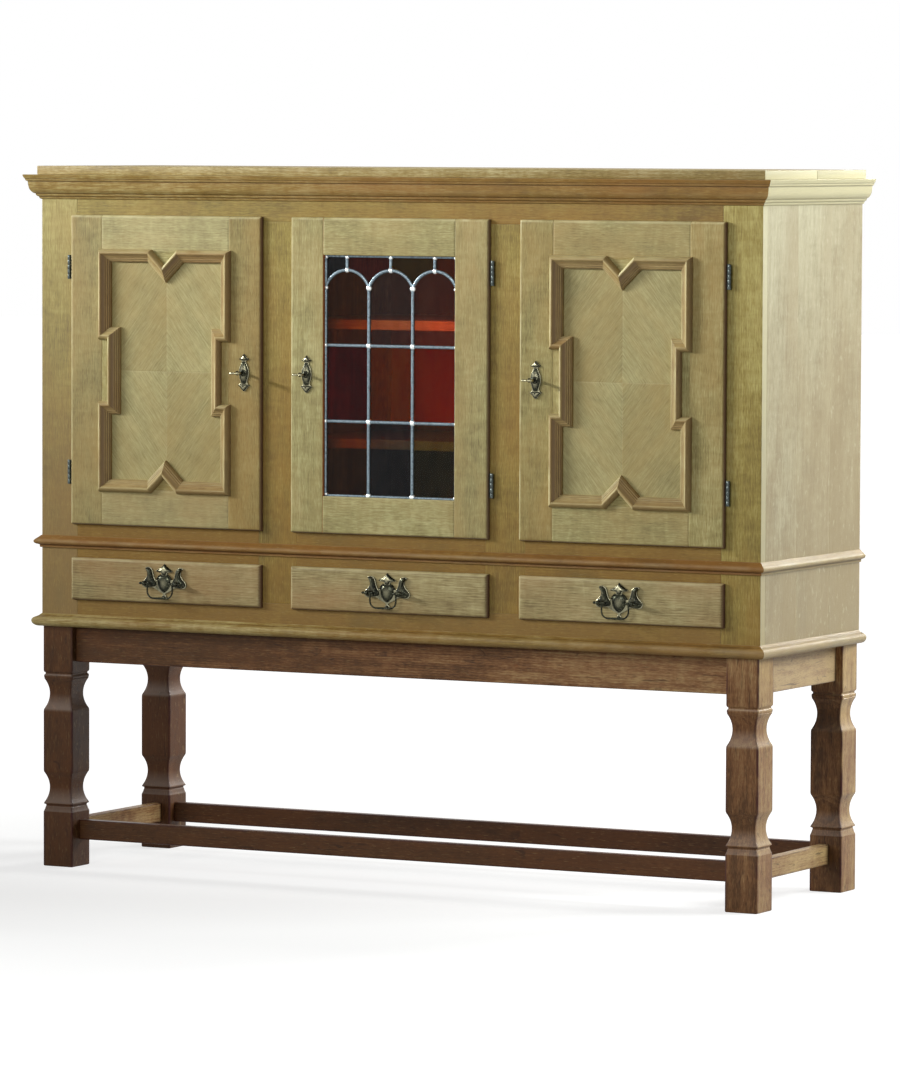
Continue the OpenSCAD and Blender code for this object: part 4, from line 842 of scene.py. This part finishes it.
ESCUTCHEON = [
    (0, 35), (1.8, 33), (4, 30.4), (6.6, 28), (10.6, 25.2), (6.6, 23.2), (4.6, 21.6), (5.2, 18.5), (7, 14.5),
    (8.8, 10.5), (10.2, 6), (10.9, 0), (10.4, -5), (9, -10), (7.6, -14), (7.2, -18), (8.6, -20.8), (12.5, -23),
    (9.2, -26), (6.6, -29), (3.6, -32.8), (0, -35)]
VASE = [
    (0, 21.5), (3.4, 20.6), (4.2, 18), (5.8, 14.5), (7.6, 10), (9.2, 5), (9.8, 0), (9.4, -5), (8, -10),
    (6.4, -14.5), (5.4, -18.5), (3, -20.6), (0, -21)]
ROOF = [(0, 34.4), (1.6, 32.6), (3.8, 30), (6.4, 27.4), (10.2, 25.2), (6, 23.6), (3, 22.6), (0, 22.2)]
DROP = [(0, -21.4), (4, -21.6), (8, -22), (12, -23), (9, -25.6), (6.2, -28.6), (3.2, -32.4), (0, -34.4)]
CAST = -1.9


def key_x(bay):
    return SIDES[bay] * BAY - HINGE[bay] * (DOOR_W / 2 - 35)


def escutcheon(bay):
    """A cast shield between two leafy finials, with a vase-shaped body, a raised ring round the
    keyhole, and a pin at each end."""
    x = key_x(bay)
    cast = [cast_plate(ESCUTCHEON, 2.2), cushion(VASE, CAST, 3.4, 0.8), cushion(ROOF, CAST, 3.6, 0.9),
            cushion(DROP, CAST, 3.2, 0.9)]
    ring = [(3.2, 2.2), (3.9, 5.2), (4.8, 5.9), (6.0, 5.7), (6.8, 4.9), (7.2, 2.2), (3.2, 2.2)]
    pin = [(0, 0), (1.5, 0), (1.3, 0.9), (0.7, 1.3), (0, 1.4)]
    placed = [moved(p, x, LIP, KEY_Z) for p in cast] + [turned(ring, (x, LIP, KEY_Z - 0.5), AHEAD, 32)]
    placed += [turned(pin, (x, LIP - 5.2, KEY_Z + dz), AHEAD, 12) for dz in (25.8, -25.0)]
    piece(f"door_{bay}_escutcheon", "brass", placed, 40)


def key(bay):
    """A turned shank with collars, its bit in the lock, and a level bow of two looped scrolls
    with a bead at their tip."""
    x, tip = key_x(bay), LIP - 42
    shank = turned([
        (0, 9.5), (1.6, 9.6), (2.4, 11.2), (2.2, 12.6), (3.2, 13.4), (4.1, 14.6), (4.1, 15.8), (3.2, 17.0),
        (2.3, 17.6), (2.9, 18.6), (3.0, 20.0), (2.5, 21.4), (2.5, 33.6), (3.4, 34.0), (4.1, 34.8), (4.1, 36.2),
        (3.4, 37.0), (2.5, 37.4), (2.5, 72.2), (2.0, 73.0), (0, 73.0)], (x, tip, KEY_Z), DEEP, 20)
    turn = np.linspace(0, 2 * np.pi, 36, endpoint=False)
    bead = [(0, -2.0), (1.2, -1.7), (1.9, -0.6), (1.9, 0.6), (1.2, 1.7), (0, 2.0)]
    nose = [(0, 0), (1.2, 0.3), (2.1, 1.3), (2.3, 2.4), (1.9, 3.6), (1.2, 4.6), (0, 5.2)]
    bow = [turned(nose, (x, tip, KEY_Z), DEEP, 16)]
    for s in BOTH:
        ring = np.stack([x + s * (5.3 + 4.2 * np.cos(turn)), tip + 7.6 + 4.6 * np.sin(turn), np.full(36, KEY_Z)], 1)
        bow += [wire(ring, 2.0 + 0.35 * np.cos(turn), UP, 12, True),
                turned(bead, (x + s * 4.4, tip + 12.8, KEY_Z), UP, 14)]
    # The bow is made bright all over: a painted highlight, as well as metal rubbed by handling
    for part in bow:
        part["wear"][:] = 0.8
    bit = board((x - 1.2, TONGUE + 1.5, KEY_Z - 8), (x + 1.2, TONGUE + 3.9, KEY_Z), UP, 0, 0.2, 0.2)
    piece(f"door_{bay}_key", "brass", [shank, bow[0], bit, *bow[1:]], 40)


def lock(bay):
    """The lock case on the back of the stile, a cap plate over it held by screws, and its bolt."""
    s = HINGE[bay]
    x = SIDES[bay] * BAY - s * (DOOR_W / 2 - 12)

    def plate(near, far, y0, y1, low, high, edge, corner, grain=UP):
        return board((x + s * near, TONGUE + y0, KEY_Z + low), (x + s * far, TONGUE + y1, KEY_Z + high), grain, 0,
                     edge, corner)

    walls = [plate(0, 46, 0, 4.2, -30, 30, 0.3, 1.0), plate(0, 46, 9.7, 12, -30, 30, 0.5, 1.0),
             plate(0, 46, 4.0, 10, -30, -12.4, 0.3, 0.4), plate(0, 46, 4.0, 10, 12.4, 30, 0.3, 0.4),
             plate(42.2, 46, 4.0, 10, -30, 30, 0.3, 0.4)]
    head = [(0, 0), (2.16, 0), (2.4, -0.25), (1.32, -1.4), (0, -1.4)]
    walls += [turned(head, (x + s * dx, TONGUE + 12, KEY_Z + dz), DEEP, 16) for dx in (5, 41) for dz in (-25, 25)]
    piece(f"door_{bay}_lock", "steel", walls)
    strips = [plate(0, 41, 4.7, 9.2, 3.5, 12, 0.3, 0.4, ACROSS), plate(0, 41, 4.7, 9.2, -12, -3.5, 0.3, 0.4, ACROSS)]
    strips += [plate(near, far, 4.7, 9.2, -3.6, 3.6, 0.3, 0.3, ACROSS) for near, far in ((0, 19.5), (36.5, 41))[::s]]
    piece(f"door_{bay}_bolt", "steel", strips)


# ---- doors ------------------------------------------------------------------------------

UPPER = np.array([
    (-122.5, 58), (-142.5, 58), (-142.5, 227.5), (-28, 227.5), (0, 199.5), (28, 227.5), (142.5, 227.5),
    (142.5, 58), (122.5, 58)], float)
OUTLINE = np.concatenate([UPPER, -UPPER])
BEAD = np.array([
    (0, 0), (0.1, 2.6), (0.5, 4.6), (1.3, 6.8), (2.5, 8.8), (4.0, 10.5), (5.6, 11.6), (7.0, 12.0), (8.2, 11.6),
    (9.2, 10.6), (10.4, 9.0), (11.8, 7.5), (13.2, 6.3), (14.6, 5.4), (15.6, 4.9), (16.0, 4.2), (16.2, 3.6),
    (16.9, 3.7), (17.9, 3.6), (18.7, 3.0), (19.1, 2.1), (19.2, 1.3), (19.8, 1.4), (20.8, 1.3), (21.6, 0.6),
    (22.0, -0.4), (22.1, -1.3), (22.8, -1.2), (23.4, -1.9), (23.6, -3.2), (23.6, -7.0), (5.6, -7.0),
    (5.6, 0)], float)
# Stains and shades of each door's left and right stile
STILES = {"left": ((-0.06, -0.15), (0.0, -0.45)), "centre": ((-0.04, 0.0), (-0.06, 0.1)),
          "right": ((0.0, -0.15), (0.02, -0.05))}
ROUND = 5.0


def door_members(bay, inner):
    """Two stiles over the full height with two rails between them, lips rounded outside and at
    the opening by the radius inner, and behind them a square-edged frame in the case's opening."""
    cx, w, h, a, b, z = SIDES[bay] * BAY, DOOR_W / 2, DOOR_H / 2, HOLE_W / 2, HOLE_H / 2, DOOR_MID
    seed = 100 + 10 * SIDES[bay]
    parts = []
    for s, (stain, shade) in zip(BOTH, STILES[bay]):
        radii = (ROUND, inner)[::-s]
        stile = fronted(cx + s * w, cx + s * (a + 0.08), z - h, z + h, LIP, LIP_BACK, (*radii, ROUND, ROUND), UP,
                        seed + s, 1.6)
        stile["stain"] += stain
        stile["shade"] += shade
        cross = fronted(cx - a, cx + a, z + s * h, z + s * (b + 0.02), LIP, LIP_BACK, (0.3, 0.3, *radii), ACROSS,
                        seed + 3 + s, 0.3)
        cross["stain"] -= 0.12 if bay == "left" else 0.05
        parts += [stile, cross]
    w, h = OPEN_HALF - PLAY, DOOR_H / 2 - LAP - PLAY
    parts += [board((cx + s * w, LIP_BACK, z - h), (cx + s * a, TONGUE, z + h), UP, seed + s, 0.6, 0.4) for s in BOTH]
    parts += [board((cx - a, LIP_BACK, z + s * h), (cx + a, TONGUE, z + s * b), ACROSS, seed + 3 + s, 0.6, 0.3)
              for s in BOTH]
    return parts, cx, seed


def prism(outline, grain, seed):
    """A flat block with an outline of its own and slightly eased front edges."""
    y = np.array([[PANEL], [LIP + 0.35], [LIP + 0.05]])
    return laid(loft(upright(np.stack([outline, outline, inset(outline, 0.3)]), y)), grain, seed)


def door_moulding(bay, cx, seed):
    """A moulding with notched sides and pointed ends: its profile is carried along each side of
    the outline between mitres. Faces that look right or down are painted dark, a painted shade,
    and those that look left or up pale, a painted highlight."""
    tracks = np.stack([inset(OUTLINE, a) for a, _ in BEAD]) + (cx, DOOR_MID)
    lean_out, inward = 0.35 * crest(BEAD), -heading(BEAD)[:, 1]
    lengths = []
    for k in range(len(OUTLINE)):
        n = (k + 1) % len(OUTLINE)
        run = unit(OUTLINE[n] - OUTLINE[k])
        rings = upright(np.stack([tracks[:, k] + 0.06 * run, tracks[:, n] - 0.06 * run]), LIP - BEAD[:, 1])
        # Painted light: faces are paler where they look left or up, darker where they look right or down
        wear = np.clip(lean_out - inward * (0.95 * run[1] + 0.3 * run[0]), -1, 1)
        lengths.append(laid(loft(rings, wear[None]), (run[0], 0, run[1]), seed + 0.37 * k))
    piece(f"door_{bay}_moulding", "oak", lengths, 40)


def door_panel(bay, cx):
    """Four veneer leaves whose grain runs in diamonds about the middle: each is mirrored from
    the first, and its figure leans by one angle."""
    leaves = []
    lean, groove = np.radians(52), 10
    w, h = HOLE_W / 2 + groove, HOLE_H / 2 + groove
    for sx in BOTH:
        for sz in BOTH:
            leaf = board((cx, PANEL, DOOR_MID), (cx + sx * w, PANEL + 7, DOOR_MID + sz * h), ACROSS, 0, 0.05, 0.05)
            x, z = sx * (leaf["points"][:, 0] - cx) * MM, sz * (leaf["points"][:, 2] - DOOR_MID) * MM
            leaf["grain"] = np.stack([x * np.cos(lean) - z * np.sin(lean) + 3.1 * SIDES[bay],
                                      x * np.sin(lean) + z * np.cos(lean) + 0.21, np.full_like(x, 0.03)], 1)
            # Painted sheen: one pair of opposite leaves is a little paler and the other darker, as quartered veneer
            # catches light by its grain
            leaf["shade"] = np.full_like(x, 0.12 * sx * sz)
            leaves.append(leaf)
    piece(f"door_{bay}_panel", "veneer", leaves)


def panelled_door(bay):
    """Frame with four filling blocks that carry the moulding's notches, moulding and panel."""
    parts, cx, seed = door_members(bay, 0.3)
    block = np.array([(116.8, -63), (116.8, 63), (136.95, 63), (136.95, -63)])
    peak = np.array([(-26, 222), (26, 222), (0, 191.6)])
    for s in BOTH:
        parts += [prism(block[::s] * (s, 1) + (cx, DOOR_MID), UP, seed + 6 + s),
                  prism(peak * s + (cx, DOOR_MID), ACROSS, seed + 8 + s)]
    piece(f"door_{bay}_frame", "oak", parts)
    door_moulding(bay, cx, seed)
    door_panel(bay, cx)


panelled_door("left")
panelled_door("right")

# ---- the leaded door ----------------------------------------------------------------------

PANE = HOLE_W / 3
ARCH_R = PANE / 2 + 2.5
ARCH_TOP = HOLE_H / 2 - 27
ARCH_MID = ARCH_TOP - ARCH_R
ARCH_FOOT = ARCH_MID + np.sqrt(ARCH_R**2 - PANE**2 / 4)
SPRING = np.degrees(np.arcsin((ARCH_FOOT - ARCH_MID) / ARCH_R))
ROW_HIGH, ROW_LOW = (0.627 - 0.5) * HOLE_H, (0.312 - 0.5) * HOLE_H
GLASS, GLASS_BACK = PANEL + 1.2, PANEL + 5.2
# Tints of the panes from left to right: under the arches, in the middle row, in the lowest, over the arches
ARCHED = ((190, 130, 66), (196, 160, 146), (218, 152, 126))
MIDDLE = ((182, 54, 62), (238, 156, 66), (242, 110, 34))
LOWEST = ((164, 112, 62), (136, 136, 140), (150, 144, 100))
OVER = ((136, 146, 154), (206, 110, 96), (190, 162, 84), (226, 132, 64))


def arch(i, start, end, count=16):
    """Points of an arch over pane column i between two angles in degrees."""
    a = np.radians(np.linspace(start, end, count))
    return np.stack([i * PANE + ARCH_R * np.cos(a), ARCH_MID + ARCH_R * np.sin(a)], 1)


def pane(outline, colour):
    """A pane of glass: its outline between two faces, all of one tint."""
    flat = np.stack([outline, outline]) + (0, DOOR_MID)
    shell = laid(loft(upright(flat, [[GLASS], [GLASS_BACK]])), UP)
    shell["tint"] = np.tile(np.array(tone(colour)), (len(shell["points"]), 1))
    return shell


def glazing():
    """Three columns of panes under three round arches, with four spandrels over them."""
    a, b = HOLE_W / 2, HOLE_H / 2
    panes = []
    for k, i in enumerate(THREE):
        x0, x1 = (i - 0.5) * PANE, (i + 0.5) * PANE
        outline = [[(x1, ROW_HIGH)], arch(i, SPRING, 180 - SPRING), [(x0, ROW_HIGH)]]
        panes.append(pane(np.concatenate(outline), ARCHED[k]))
        for z0, z1, row in ((ROW_LOW, ROW_HIGH, MIDDLE), (-b, ROW_LOW, LOWEST)):
            panes.append(pane(np.array([(x0, z0), (x1, z0), (x1, z1), (x0, z1)]), row[k]))
    left = [arch(i, 90, SPRING) for i in THREE]
    right = [arch(i, 180 - SPRING, 90)[1:] for i in THREE]
    over = [[[(-a, b), (-a, ARCH_FOOT)], right[0], [(-PANE, b)]], [[(-PANE, b)], left[0], right[1], [(0, b)]],
            [[(0, b)], left[1], right[2], [(PANE, b)]], [[(PANE, b)], left[2], [(a, b)]]]
    panes += [pane(np.concatenate(runs), colour) for runs, colour in zip(over, OVER)]
    piece("door_centre_glass", "panes", panes)


def came(path):
    """A strip of lead over both faces of the glass: a low half-round carried along its path."""
    a = np.linspace(0, np.pi, 9)
    section = np.concatenate([np.stack([3.0 * np.cos(a), 1.9 * np.sin(a)], 1), [(-3.0, -0.2), (3.0, -0.2)]])
    side = unit(np.gradient(path, axis=0))[:, ::-1] * (1, -1)
    flat = path[:, None] + section[None, :, 0, None] * side[:, None] + (0, DOOR_MID)
    return [laid(loft(upright(flat, face + sign * section[:, 1])), UP)
            for face, sign in ((GLASS, -1), (GLASS_BACK, 1))]


def solder(x, z, size=5.6):
    """A blob of solder where leads meet, on both faces."""
    shape = [(0, -0.4), (size, -0.2), (size * 0.92, 0.9), (size * 0.7, 1.8), (size * 0.4, 2.4), (0, 2.6)]
    blobs = [turned(shape, (x, y, z + DOOR_MID), way, 18) for y, way in ((GLASS, AHEAD), (GLASS_BACK, DEEP))]
    # The blobs are made fully bright: paler solder, and a painted highlight
    for blob in blobs:
        blob["wear"][:] = 1.0
    return blobs


def leadwork():
    """Border, uprights, two cross leads, three arches and the stubs above them."""
    a, b, post = HOLE_W / 2, HOLE_H / 2, PANE / 2
    lines = [((-a, z), (a, z)) for z in (ROW_LOW, ROW_HIGH)] + [((s * post, -b), (s * post, ARCH_FOOT)) for s in BOTH]
    stubs = [((i * PANE, ARCH_TOP), (i * PANE, b)) for i in THREE]
    border = [((s * (a - 1), -b), (s * (a - 1), b)) for s in BOTH]
    border += [((-a, s * (b - 1)), (a, s * (b - 1))) for s in BOTH]
    paths = [np.linspace(*line, 3) for line in lines] + [arch(i, SPRING, 180 - SPRING, 25) for i in THREE]
    paths += [np.linspace(*line, 3) for line in stubs + border]
    shells = [shell for path in paths for shell in came(path)]
    for s in BOTH:
        for x, size, heights in ((post, 5.6, (ROW_LOW, ROW_HIGH, ARCH_FOOT, 2 - b)),
                                 (a - 1, 4.2, (ROW_LOW, ROW_HIGH)), (a - 2.5, 3.6, (ARCH_FOOT, b - 3, 3 - b))):
            for z in heights:
                shells += solder(s * x, z, size)
    for i in THREE:
        shells += solder(i * PANE, ARCH_TOP, 5.0) + solder(i * PANE, b - 3, 4.4)
    piece("door_centre_leading", "lead", shells, 50)


middle_parts, middle_x, _ = door_members("centre", 1.4)
# Painted light: the edge of the opening is stained orange as if lit through the red glass, and its rubbed edge is
# taken away
glowing = middle_parts[0]
x, y, _ = glowing["points"].T
at_hole = (x > middle_x - HOLE_W / 2 - 0.6) & (y > LIP + 0.5)
glowing["stain"] = np.where(at_hole, 1.0, glowing["stain"])
glowing["wear"] = np.where(at_hole, 0.0, glowing["wear"])
piece("door_centre_frame", "oak", middle_parts)
glazing()
leadwork()

for bay in SIDES:
    piece(f"door_{bay}_hinge_leaves", "steel", [shell for mid in HINGE_HEIGHTS for shell in hinge_leaf(
        bay, mid, (1, 3), (3.55, 13, -1.9, -0.4), (0, 3.6, -1.9, -0.4))])
    escutcheon(bay)
    key(bay)
    lock(bay)

# ---- drawers ------------------------------------------------------------------------------

PULL = [
    (0, 36.5), (2.4, 33.4), (5.4, 30.4), (9, 27.9), (13, 25.7), (18.8, 22.6), (13, 20.6), (8, 19.6),
    (6.2, 17.6), (7.6, 15.8), (11.2, 13.8), (14.2, 10.5), (15.8, 7), (17.6, 5.6), (19.6, 7), (21.5, 11),
    (23, 16), (24.2, 21), (26.2, 25.6), (30, 28.8), (35, 30), (40, 29), (41, 27), (38.2, 25.4), (36.4, 22.4),
    (35.8, 18), (36.6, 14), (39.5, 9.5), (43.6, 5), (47, 1), (47.5, -4), (45, -8.4), (38, -9.8), (30, -9),
    (24, -8.8), (19, -11), (13, -14.8), (7, -17.6), (3.4, -19.6), (2.5, -22), (4.8, -24.4), (5.2, -27),
    (3, -30), (0, -31.5)]
SHIELD = [
    (0, 15.4), (5, 15), (9, 13.2), (12.2, 10), (13.9, 5.4), (14.1, 0), (13.2, -5), (11, -9.6), (7.6, -13.4),
    (3.6, -16.8), (0, -18.4)]
FINIAL = [
    (0, 36), (2.2, 33.2), (5.2, 30), (9, 27.2), (13, 25.2), (18.2, 22.6), (12, 21.2), (7, 20.8), (4.4, 18.4),
    (4.6, 16), (0, 15)]
HORN = [
    (18.4, -6), (30, -8.4), (40, -8.6), (46, -4), (45.6, 1), (41, 6), (36.6, 11), (35, 17), (36.4, 23),
    (39.6, 27.6), (35.4, 29.2), (30.4, 27.8), (27, 24), (25, 17), (22.6, 9.5), (18.6, 3), (16, -1)]


def drawer(bay):
    """A lipped front, and behind it a box of four boards round a thin bottom."""
    cx, w, seed = SIDES[bay] * BAY, OPEN_HALF + LAP, 140 + 7 * SIDES[bay]
    front = fronted(cx - w, cx + w, SLOT_LOW - LAP, SLOT_HIGH + LAP, LIP, LIP_BACK, (6, 7.5, 6, 6), ACROSS, seed,
                    1.6)
    behind = board((cx - BOX, LIP_BACK, SLOT_LOW + PLAY), (cx + BOX, TONGUE, SLOT_HIGH - PLAY), ACROSS, seed, 0.5,
                   0.4)
    piece(f"drawer_{bay}_front", "oak", [front, behind])
    near, far, low, high, inner = TONGUE, BACK - 38, 519.0, 576.0, BOX - BOX_WALL
    lining, rear = near + BOX_WALL, far - BOX_WALL
    box = [board((cx + s * BOX, near, low), (cx + s * inner, far, high), DEEP, seed + 1 + s, 0.7, 0.5) for s in BOTH]
    box += [board((cx - inner, y0, z0), (cx + inner, y1, z1), ACROSS, seed + k, edge, corner)
            for k, y0, y1, z0, z1, edge, corner in (
                (3, near, lining, low, high, 0.5, 0.3), (4, rear, far, low, high, 0.5, 0.3),
                (5, lining, rear, low + 4, low + 10, 0.3, 0.2))]
    piece(f"drawer_{bay}_box", "wood", box)


def pull(bay):
    """A cast plate with a domed shield, a leafy finial between two horns with ribbed edges, a
    knob below, and two rosettes with the posts whose eyes hold the bail. A horn closes in on a
    spine, half of a parabola that leans outwards with height."""
    cx = SIDES[bay] * BAY
    rib = [(0, -1.2), (1.2, -0.9), (1.8, 0.4), (1.5, 1.6), (0.8, 2.2), (0, 2.4)]
    knob = [(0, 0), (2.6, 0.2), (3.4, 1.6), (3.2, 2.8), (2.0, 4.0), (0, 4.4)]
    rosette = [
        (0, 2), (6.2, 2), (6.2, 3.1), (5.6, 3.8), (4.7, 4.1), (4.0, 3.9), (3.5, 4.3), (3.3, 5.5), (2.9, 8.0),
        (2.8, 12), (3.2, 13.6), (3.2, 15.2), (0, 15.2)]
    eye = [(1.98, -3), (3.4, -3), (4.1, -2.7), (4.4, -1.8), (4.4, 1.8), (4.1, 2.7), (3.4, 3), (1.98, 3), (1.98, -3)]
    parts = [cast_plate(PULL, 2.3), cushion(SHIELD, CAST, 4.2, 0.5), cushion(FINIAL, CAST, 4.0, 0.9)]
    for s in BOTH:
        for x, z in ((7.6, 15.0), (10.6, 13.2), (13.0, 10.6), (14.7, 7.4)):
            parts.append(turned(rib, (s * x, -2.3, z), AHEAD, 12))
        horn = smooth_line(np.array(HORN) * (s, 1), 2, True)
        z = horn[:, 1] * 0.86 + 1.0
        spine = np.stack([s * (29.5 + 0.0135 * (z - 4) ** 2), z], 1)
        parts.append(raised(horn, spine, CAST, 6.2, (0.08, 0.2, 0.36, 0.55, 0.76, 0.93), 0.3))
    placed = [moved(p, cx, LIP, PIVOT_Z) for p in parts] + [turned(knob, (cx, LIP - 1.6, PIVOT_Z - 27.2), AHEAD, 20)]
    for x in (cx - 34, cx + 34):
        placed += [turned(rosette, (x, LIP, PIVOT_Z), AHEAD), turned(eye, (x, PIVOT_Y, PIVOT_Z), ACROSS)]
    piece(f"drawer_{bay}_pull", "brass", placed, 40)


def bail(bay):
    """One wire: ball-ended pins level in the eyes, legs down, and round bends into a slightly
    thickened grip."""
    cx, half, drop, bend = SIDES[bay] * BAY, 27.0, 27.5, 13.0
    a = np.radians(np.linspace(180, 270, 10))
    left = np.stack([-half + bend + bend * np.cos(a), -drop + bend + bend * np.sin(a)], 1)
    left = np.concatenate([[(-half, 1.0), (-half, -4.0)], left])
    loop = smooth_line(np.concatenate([left, left[::-1] * (-1, 1)]), 2)
    radius = 1.55 + 0.6 * np.exp(-((loop[:, 0] / 11) ** 2)) * (loop[:, 1] < -20) + 0.35 * (loop[:, 1] > -6)
    pin = [
        (0, 0), (1.6, 0.3), (2.5, 1.4), (2.7, 2.7), (2.4, 4.0), (1.7, 5.0), (1.9, 5.6), (1.9, 18.6),
        (1.5, 19.2), (2.5, 20.2), (2.7, 21.4), (2.3, 22.8), (1.3, 23.9), (0, 24.3)]
    parts = [wire(upright(loop + (cx, PIVOT_Z), PIVOT_Y), radius, DEEP, 14)]
    parts += [turned(pin, (cx + s * 20.4, PIVOT_Y, PIVOT_Z), (s, 0, 0), 18) for s in BOTH]
    piece(f"drawer_{bay}_bail", "brass", parts, 50)


for bay in SIDES:
    drawer(bay)
    pull(bay)
    bail(bay)

# ---- camera, floor and light ----------------------------------------------------------------


def standing(name, data, place, side, top, back):
    """Puts a camera or a lamp at a place, in metres, its own three directions being given."""
    turn = np.eye(4)
    turn[:3] = np.stack([side, top, back, place], 1)
    made = bpy.data.objects.new(name, data)
    made.matrix_world = Matrix(turn.tolist())
    bpy.context.scene.collection.objects.link(made)
    return made


yaw, pitch, roll = 0.48878, 0.06465, 0.00398
ahead = np.array([-np.sin(yaw) * np.cos(pitch), np.cos(yaw) * np.cos(pitch), -np.sin(pitch)])
right = np.array([np.cos(yaw), np.sin(yaw), 0.0])
over = np.cross(right, ahead)
right, over = np.cos(roll) * right + np.sin(roll) * over, -np.sin(roll) * right + np.cos(roll) * over
lens = bpy.data.cameras.new("view from the front right")
lens.lens, lens.sensor_width, lens.clip_end = 207.369, 36.0, 200.0
bpy.context.scene.camera = standing(lens.name, lens, (5.44585, -10.19484, 1.38252), right, over, -ahead)


def floor():
    """A wide level sheet under the legs. The camera, metal and glass see it close to white with
    the cabinet's shadow on it, fading with the distance from the middle into the white beyond;
    other light meets a plain grey sheet."""
    f = Finish(bpy.data.materials.new("pale studio floor"))
    place = f.add("TexCoord", output="Object")
    far = f.add("VectorMath", {0: place}, "Value", operation="LENGTH")
    fade = f.fit(far + f.noise(place, 2.0, 2.0) * 0.2, 1.1, 2.6)
    glow = f.add("Emission", {"Color": (1, 1, 1, 1), "Strength": f.calc("ADD", 0.7, fade * 0.3)})
    grey = f.add("BsdfDiffuse", {"Color": tone((168, 168, 166))})
    near = f.add("AddShader", {0: glow, 1: grey})
    path = f.add("LightPath", output="Is Camera Ray")
    seen = f.calc("MAXIMUM", path, f.calc("MAXIMUM", path.other("Is Glossy Ray"), path.other("Is Transmission Ray")))
    rows = 9
    u, v = np.meshgrid(*[np.linspace(-30, 30, rows)] * 2, indexing="ij")
    corner = (rows * np.arange(rows - 1)[:, None] + np.arange(rows - 1)).ravel()
    mesh = bpy.data.meshes.new("studio floor")
    mesh.from_pydata(np.stack([u, v, np.zeros_like(u)], -1).reshape(-1, 3), [],
                     np.stack([corner, corner + rows, corner + rows + 1, corner + 1], 1).tolist())
    mesh.materials.append(f.finish(f.add("MixShader", {0: seen, 1: grey, 2: near})))
    sheet = bpy.data.objects.new("studio_floor", mesh)
    bpy.context.scene.collection.objects.link(sheet)


floor()


def softbox(name, place, aim, width, height, power, spread=180, colour=(1, 1, 1)):
    """A rectangular lamp, its sides in metres, turned to face a point; spread, in degrees, is
    how wide its light opens."""
    lamp = bpy.data.lights.new(name, "AREA")
    lamp.shape, lamp.size, lamp.size_y, lamp.energy, lamp.color = "RECTANGLE", width, height, power, colour
    lamp.spread = np.radians(spread)
    back = unit(np.array(place) - np.array(aim))
    side = unit(np.cross(UP, back))
    standing(name, lamp, place, side, np.cross(back, side), back)


softbox("left window light", (-4.3, -2.5, 2.35), (0.3, -0.2, 2.1), 1.8, 0.22, 44, 56)
softbox("right rear light", (3.6, 1.5, 2.6), (0.75, 0, 1.0), 1.6, 1.6, 150, 180, (0.94, 0.98, 1.0))
softbox("rear window light", (2.4, 5.4, 3.4), (0.7, 0, 0.8), 2.0, 1.4, 60, 90)
softbox("front fill", (-0.6, -6.5, 2.6), (0, 0, 1.6), 2.5, 1.5, 22, 70)

# Seen directly, in metal or through glass the studio is white; it lights the cabinet far less
studio = Finish(bpy.data.worlds.new("pale studio"))
path = studio.add("LightPath", output="Is Camera Ray")
seen = studio.calc("MAXIMUM", path, path.other("Is Transmission Ray"))
seen = studio.calc("MAXIMUM", seen, path.other("Is Glossy Ray"))
white = studio.add("Background", {"Color": (1.0, 1.0, 1.0, 1.0), "Strength": studio.fit(seen, 0.0, 1.0, 0.14, 1.0)})
bpy.context.scene.world = studio.finish(white, "World")
bpy.context.scene.view_settings.view_transform = "Standard"
